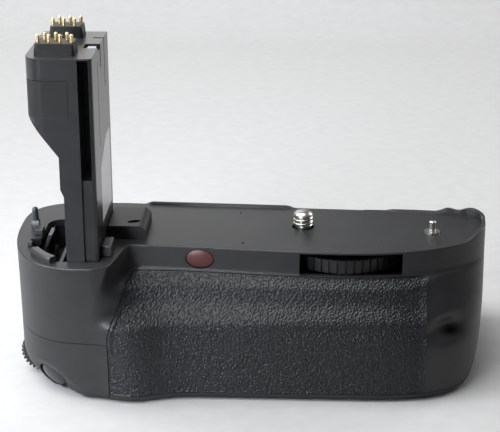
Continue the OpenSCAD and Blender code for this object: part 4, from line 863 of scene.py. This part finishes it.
def switch_post():
    """A tapered post with a round tip on a square foot, on the rim beside the pocket."""
    turn = around(POST_AROUND)
    square = 1.0 / np.maximum(np.abs(np.cos(turn)), np.abs(np.sin(turn)))
    steps = [(POST_FOOT * square, 0.0), (POST_FOOT * square, POST_FOOT_H),
             (POST_R * square, POST_LOW), (POST_R, POST_LOW)]
    steps += [(POST_TIP_R * math.cos(t), POST_TIP_Z + POST_TIP_H * math.sin(t))
              for t in POST_TIP_TURNS]
    return stacked("post", [circle(r, z, turn) + (*POST_AT, DECK_Z) for r, z in steps])


def rim_block(k):
    """One of the small blocks on the pocket's rim in front of the post."""
    block = box("rim_block_%d" % (k + 1), *RIM_BLOCKS[k])
    soften(block, RIM_BLOCK_EDGE)
    return block


# Shutter button and the collar of the cap round it, as heights over the facet
DOME_BASE, DOME_H, BUTTON_LOW, BUTTON_HOLE_R = -0.8, 1.6, -3.1, 0.1
DOME_TURNS = np.linspace(0.02, QUARTER, 16)
RING_W, RING_TOP, RING_H, RING_IN_R, RING_OUT_R, RING_FLOOR = 0.95, 0.25, 2.5, 0.15, 0.3, 0.15


def turned(name, profile, count=64):
    """A body turned about the axis of the facet, from a loop of (radius, height) points."""
    turn = around(count)
    rings = [[on_facet(r * math.cos(t), r * math.sin(t), w) for t in turn] for r, w in profile]
    return stacked(name, rings, looped=True)


def shutter_button():
    """A glossy dome with a rounded edge."""
    dome = [(SHUTTER_R * math.sin(t), DOME_BASE + DOME_H * math.cos(t)) for t in DOME_TURNS]
    return turned("shutter", dome + [(SHUTTER_R, BUTTON_LOW), (BUTTON_HOLE_R, BUTTON_LOW)])


def shutter_collar():
    """The thin collar of the cap that the button moves in."""
    inner, outer = SHUTTER_R + SHUTTER_GAP, SHUTTER_R + RING_W
    low = RING_TOP - RING_H
    collar = turned("shutter_collar", [
        (inner, low), (inner, RING_TOP - RING_IN_R), (inner + RING_IN_R, RING_TOP),
        (outer - RING_OUT_R, RING_TOP), (outer, RING_TOP - RING_OUT_R), (outer, low)])
    cut(collar, [box("floor_cut", (-FAR, -FAR, -FAR), (FAR, FAR, RING_FLOOR))])
    smooth(collar, TURNED_ANGLE)
    return collar


# Materials: two tones, the range of roughness, the scale and the relief of the fine grain
PLASTIC_PATCH, PLASTIC_SPECULAR = 180.0, 0.5
TONE_DETAIL, GRAIN_DETAIL, TONE_SPAN, RELIEF = 5.0, 2.0, (0.32, 0.7), 0.0001
SURFACES = {
    "black_plastic": dict(dark=(0.012, 0.0123, 0.0132), light=(0.017, 0.0174, 0.0184),
                          rough=(0.38, 0.5), grain=4200.0, bump=0.25, specular=0.45),
    "stalk_plastic": dict(dark=(0.016, 0.0163, 0.0175), light=(0.022, 0.0223, 0.0236),
                          rough=(0.24, 0.34), grain=4000.0, bump=0.12),
    "dark_plastic": dict(dark=(0.006, 0.006, 0.0065), light=(0.010, 0.010, 0.011),
                         rough=(0.4, 0.52), grain=3500.0, bump=0.2, specular=0.4),
    "gloss_black": dict(dark=(0.012, 0.012, 0.013), light=(0.017, 0.017, 0.018),
                        rough=(0.14, 0.22), grain=3000.0, bump=0.05),
    "rubber": dict(dark=(0.006, 0.0064, 0.0074), light=(0.02, 0.021, 0.0235),
                   rough=(0.3, 0.5), grain=3800.0, bump=0.35, patch=1500.0, specular=0.33),
    "gold": dict(dark=(0.84, 0.64, 0.33), light=(0.92, 0.74, 0.44),
                 rough=(0.28, 0.4), grain=3000.0, bump=0.03, metallic=1.0),
    "steel": dict(dark=(0.5, 0.485, 0.455), light=(0.62, 0.6, 0.57),
                  rough=(0.26, 0.38), grain=2500.0, bump=0.05, metallic=1.0),
    "brass": dict(dark=(0.5, 0.34, 0.13), light=(0.62, 0.44, 0.19),
                  rough=(0.25, 0.4), grain=2500.0, bump=0.08, metallic=1.0),
    "board": dict(dark=(0.012, 0.06, 0.03), light=(0.02, 0.085, 0.045),
                  rough=(0.3, 0.4), grain=1500.0, bump=0.05),
    "battery": dict(dark=(0.035, 0.035, 0.038), light=(0.05, 0.05, 0.054),
                    rough=(0.4, 0.5), grain=3000.0, bump=0.15),
    "pale_plate": dict(dark=(0.68, 0.68, 0.69), light=(0.78, 0.78, 0.79),
                       rough=(0.3, 0.42), grain=2500.0, bump=0.06),
    "lilac_plate": dict(dark=(0.27, 0.265, 0.33), light=(0.33, 0.325, 0.39),
                        rough=(0.3, 0.42), grain=2500.0, bump=0.06),
    "red_window": dict(dark=(0.065, 0.016, 0.018), light=(0.1, 0.025, 0.027),
                       rough=(0.34, 0.44), grain=800.0, bump=0.02, specular=0.42),
    "chassis": dict(dark=(0.4, 0.41, 0.42), light=(0.5, 0.51, 0.52),
                    rough=(0.3, 0.42), grain=1500.0, bump=0.05, metallic=1.0),
    "cloth": dict(dark=(0.385, 0.385, 0.386), light=(0.41, 0.41, 0.411),
                  rough=(0.8, 0.95), grain=900.0, bump=0.1, patch=160.0, specular=0.1)}

# The scoop at the housing's right end, which little light reaches, gets painted shade
HOLLOW_AT, HOLLOW_R = (45.8, -19.0, 21.0), (8.0, 10.0, 4.0)
HOLLOW_FULL, HOLLOW_DARK = 0.4, 0.04


def material(name, dark, light, rough, grain, bump, metallic=0.0, patch=PLASTIC_PATCH,
             specular=PLASTIC_SPECULAR):
    """A surface whose colour wanders between two tones, with a fine grain in gloss and relief."""
    mat = bpy.data.materials.new(name)
    mat.use_nodes = True
    tree = mat.node_tree
    shader = tree.nodes["Principled BSDF"]
    place = tree.nodes.new("ShaderNodeTexCoord")
    tone = tree.nodes.new("ShaderNodeTexNoise")
    tone.inputs["Scale"].default_value = patch
    tone.inputs["Detail"].default_value = TONE_DETAIL
    ramp = tree.nodes.new("ShaderNodeValToRGB")
    for stop, position, colour in zip(ramp.color_ramp.elements, TONE_SPAN, (dark, light)):
        stop.position, stop.color = position, (*colour, 1)
    fine = tree.nodes.new("ShaderNodeTexNoise")
    fine.inputs["Scale"].default_value = grain
    fine.inputs["Detail"].default_value = GRAIN_DETAIL
    gloss = tree.nodes.new("ShaderNodeMapRange")
    gloss.inputs["To Min"].default_value, gloss.inputs["To Max"].default_value = rough
    relief = tree.nodes.new("ShaderNodeBump")
    relief.inputs["Strength"].default_value = bump
    relief.inputs["Distance"].default_value = RELIEF
    link = tree.links.new
    for texture in (tone, fine):
        link(place.outputs["Object"], texture.inputs["Vector"])
    link(tone.outputs["Fac"], ramp.inputs["Fac"])
    link(ramp.outputs["Color"], shader.inputs["Base Color"])
    link(fine.outputs["Fac"], gloss.inputs["Value"])
    link(gloss.outputs["Result"], shader.inputs["Roughness"])
    link(fine.outputs["Fac"], relief.inputs["Height"])
    link(relief.outputs["Normal"], shader.inputs["Normal"])
    shader.inputs["Metallic"].default_value = metallic
    shader.inputs["Specular IOR Level"].default_value = specular
    return mat


LOOKS = {name: material(name, **surface) for name, surface in SURFACES.items()}


def paint_hollow_shade(look, centre, radii, name):
    """A copy of a look with painted shade: colour and specular darken inside an ellipsoid, where
    light does not reach.
    """
    mat = look.copy()
    mat.name = name
    tree = mat.node_tree
    shader, ramp = tree.nodes["Principled BSDF"], tree.nodes["Color Ramp"]
    place = tree.nodes["Texture Coordinate"]
    move = tree.nodes.new("ShaderNodeMapping")
    move.vector_type = "TEXTURE"
    move.inputs["Location"].default_value = [v * MM for v in centre]
    move.inputs["Scale"].default_value = [v * MM for v in radii]
    ball = tree.nodes.new("ShaderNodeTexGradient")
    ball.gradient_type = "QUADRATIC_SPHERE"
    fade = tree.nodes.new("ShaderNodeMapRange")
    fade.interpolation_type = "SMOOTHSTEP"
    fade.inputs["From Min"].default_value = 0.0
    fade.inputs["From Max"].default_value = HOLLOW_FULL
    fade.inputs["To Min"].default_value = 1.0
    fade.inputs["To Max"].default_value = HOLLOW_DARK
    tone = tree.nodes.new("ShaderNodeVectorMath")
    tone.operation = "SCALE"
    gloss = tree.nodes.new("ShaderNodeMath")
    gloss.operation = "MULTIPLY"
    gloss.inputs[1].default_value = shader.inputs["Specular IOR Level"].default_value
    link = tree.links.new
    link(place.outputs["Object"], move.inputs["Vector"])
    link(move.outputs["Vector"], ball.inputs["Vector"])
    link(ball.outputs["Fac"], fade.inputs["Value"])
    link(ramp.outputs["Color"], tone.inputs[0])
    link(fade.outputs["Result"], tone.inputs["Scale"])
    link(tone.outputs["Vector"], shader.inputs["Base Color"])
    link(fade.outputs["Result"], gloss.inputs[0])
    link(gloss.outputs["Value"], shader.inputs["Specular IOR Level"])
    return mat


def wear(obj, look):
    obj.data.materials.clear()
    obj.data.materials.append(look)


def dress(piece, node, body="body"):
    """A visual piece stands for a solid of the model and moves with its body."""
    slot = next(s["material_slot"] for s in frame["record"]["subparts"] if s["node"] == node)
    wear(piece, LOOKS[slot])
    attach(piece, body)
    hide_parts(node)


housing = main_housing()
dress(housing, "main_housing")
# Painted shade darkens the housing's plastic in the scoop at its right end
wear(housing, paint_hollow_shade(LOOKS["black_plastic"], HOLLOW_AT, HOLLOW_R, "housing_plastic_painted_shade"))
dress(control_cap(), "control_cap")
dress(bottom_cover(), "bottom_cover")
dress(grip_rubber(), "grip_rubber")
dress(attachment_screw(), "attachment_screw", "screw")
dress(ir_window(), "ir_window")
dress(stalk_core(), "stalk_core")
filler = filler_block()
dress(filler, "filler_block")
wear(filler, LOOKS["dark_plastic"])
dress(corner_block(), "corner_block")
dress(latch_bar(), "latch_bar")
dress(switch_post(), "switch_post")
dress(shutter_button(), "shutter_button", "shutter")

# Pieces that stand for no solid of the model
for piece, look, slot in ((recess_plate(), "lilac_plate", "pale_plate"),
                          (shutter_collar(), "black_plastic", "black_plastic"),
                          (rim_block(0), "black_plastic", "black_plastic"),
                          (rim_block(1), "black_plastic", "black_plastic")):
    wear(piece, LOOKS[look])
    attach(piece, "body")

# Solids of the model that show as they are, some with softened edges
EDGE_WIDTHS = {"magazine_door": 0.4, "thumbwheel": 0.12, "front_contact_block": 0.25,
               "rear_contact_block": 0.25, "pocket_clip": 0.3, "main_dial": 0.15,
               "power_switch": 0.3, "lock_knob": 0.25, "release_handle": 0.2}
for part in frame["record"]["subparts"]:
    node = nodes[part["node"]]
    wear(node, LOOKS[part["material_slot"]])
    width = EDGE_WIDTHS.get(part["node"])
    if width:
        soften(node, width)

# Camera: the width and the focal length of the photo, in pixels, give the lens
PHOTO_W, PHOTO_F, SENSOR_W, CLIP_START = 500, 1450.0, 36.0, 0.01
CAMERA_AT, CAMERA_PITCH, CAMERA_TURN = (-1.02, -439.9, 210.6), 70.0, 2.1
camera = bpy.data.objects.new("camera", bpy.data.cameras.new("camera"))
scene.collection.objects.link(camera)
camera.location = [v * MM for v in CAMERA_AT]
camera.rotation_euler = (math.radians(CAMERA_PITCH), 0.0, math.radians(CAMERA_TURN))
camera.data.sensor_fit, camera.data.sensor_width = "HORIZONTAL", SENSOR_W
camera.data.lens = PHOTO_F / PHOTO_W * SENSOR_W
camera.data.clip_start = CLIP_START
scene.camera = camera

# A pale cloth that lies just under the grip and runs up behind it
CLOTH_FRONT, CLOTH_REAR, CLOTH_W, CLOTH_TOP, CLOTH_DROP = -125.0, 450.0, 1500.0, 150.0, 0.02
CLOTH_R, CLOTH_TURNS = 140.0, np.linspace(0, QUARTER, 24)


def cloth_sweep():
    bend = [(CLOTH_REAR + CLOTH_R * math.sin(t), CLOTH_R * (1.0 - math.cos(t)))
            for t in CLOTH_TURNS]
    profile = [(CLOTH_FRONT, 0.0)] + bend + [(CLOTH_REAR + CLOTH_R, CLOTH_TOP)]
    points = [(x, y, z - CLOTH_DROP) for y, z in profile for x in (-CLOTH_W, CLOTH_W)]
    faces = [(2 * i, 2 * i + 1, 2 * i + 3, 2 * i + 2) for i in range(len(profile) - 1)]
    return mesh_object("cloth", points, faces)


cloth = cloth_sweep()
for face in cloth.data.polygons:
    face.use_smooth = True
wear(cloth, LOOKS["cloth"])

# Round lamps, in metres, watts and degrees: name, place, aim, size, power, tint, spread
WHITE, COOL, WIDE, NARROW = (1.0, 1.0, 1.0), (0.9, 0.95, 1.0), 180.0, 40.0
LAMPS = (
    ("key", (-0.75, 0.1, 0.9), (-0.02, 0.0, 0.03), 0.6, 9.5, WHITE, WIDE),
    ("top", (-0.25, -0.1, 1.0), (0.0, 0.05, 0.04), 0.8, 12.5, WHITE, WIDE),
    ("front", (-0.24, -0.3, 0.22), (-0.125, -0.03, 0.03), 0.2, 0.1, COOL, NARROW),
    ("low", (-0.28, -0.43, 0.1), (-0.14, -0.03, 0.02), 0.2, 0.16, COOL, NARROW),
    ("side", (-0.75, -0.25, 0.2), (-0.06, 0.0, 0.03), 0.3, 3.0, COOL, WIDE),
    ("rim", (0.7, 0.6, 0.5), (-0.05, 0.0, 0.06), 0.5, 3.4, WHITE, WIDE),
    ("back", (-0.22, 0.66, 0.34), (-0.05, 0.0, 0.05), 0.5, 0.8, WHITE, WIDE))
WORLD_TINT, WORLD_STRENGTH = (0.86, 0.87, 0.88, 1), 0.13


def area_light(name, place, aim, size, power, tint, spread):
    data = bpy.data.lights.new(name, "AREA")
    data.shape, data.size, data.spread = "DISK", size, math.radians(spread)
    data.energy, data.color = power, tint
    lamp = bpy.data.objects.new(name, data)
    scene.collection.objects.link(lamp)
    lamp.location = place
    direction = np.array(aim) - np.array(place)
    pitch = math.atan2(math.hypot(direction[0], direction[1]), -direction[2])
    lamp.rotation_euler = (pitch, 0.0, math.atan2(-direction[0], direction[1]))


for lamp_row in LAMPS:
    area_light(*lamp_row)

world = bpy.data.worlds.new("studio")
scene.world = world
world.use_nodes = True
background = world.node_tree.nodes["Background"]
background.inputs["Color"].default_value = WORLD_TINT
background.inputs["Strength"].default_value = WORLD_STRENGTH

scene.view_settings.view_transform = "Standard"
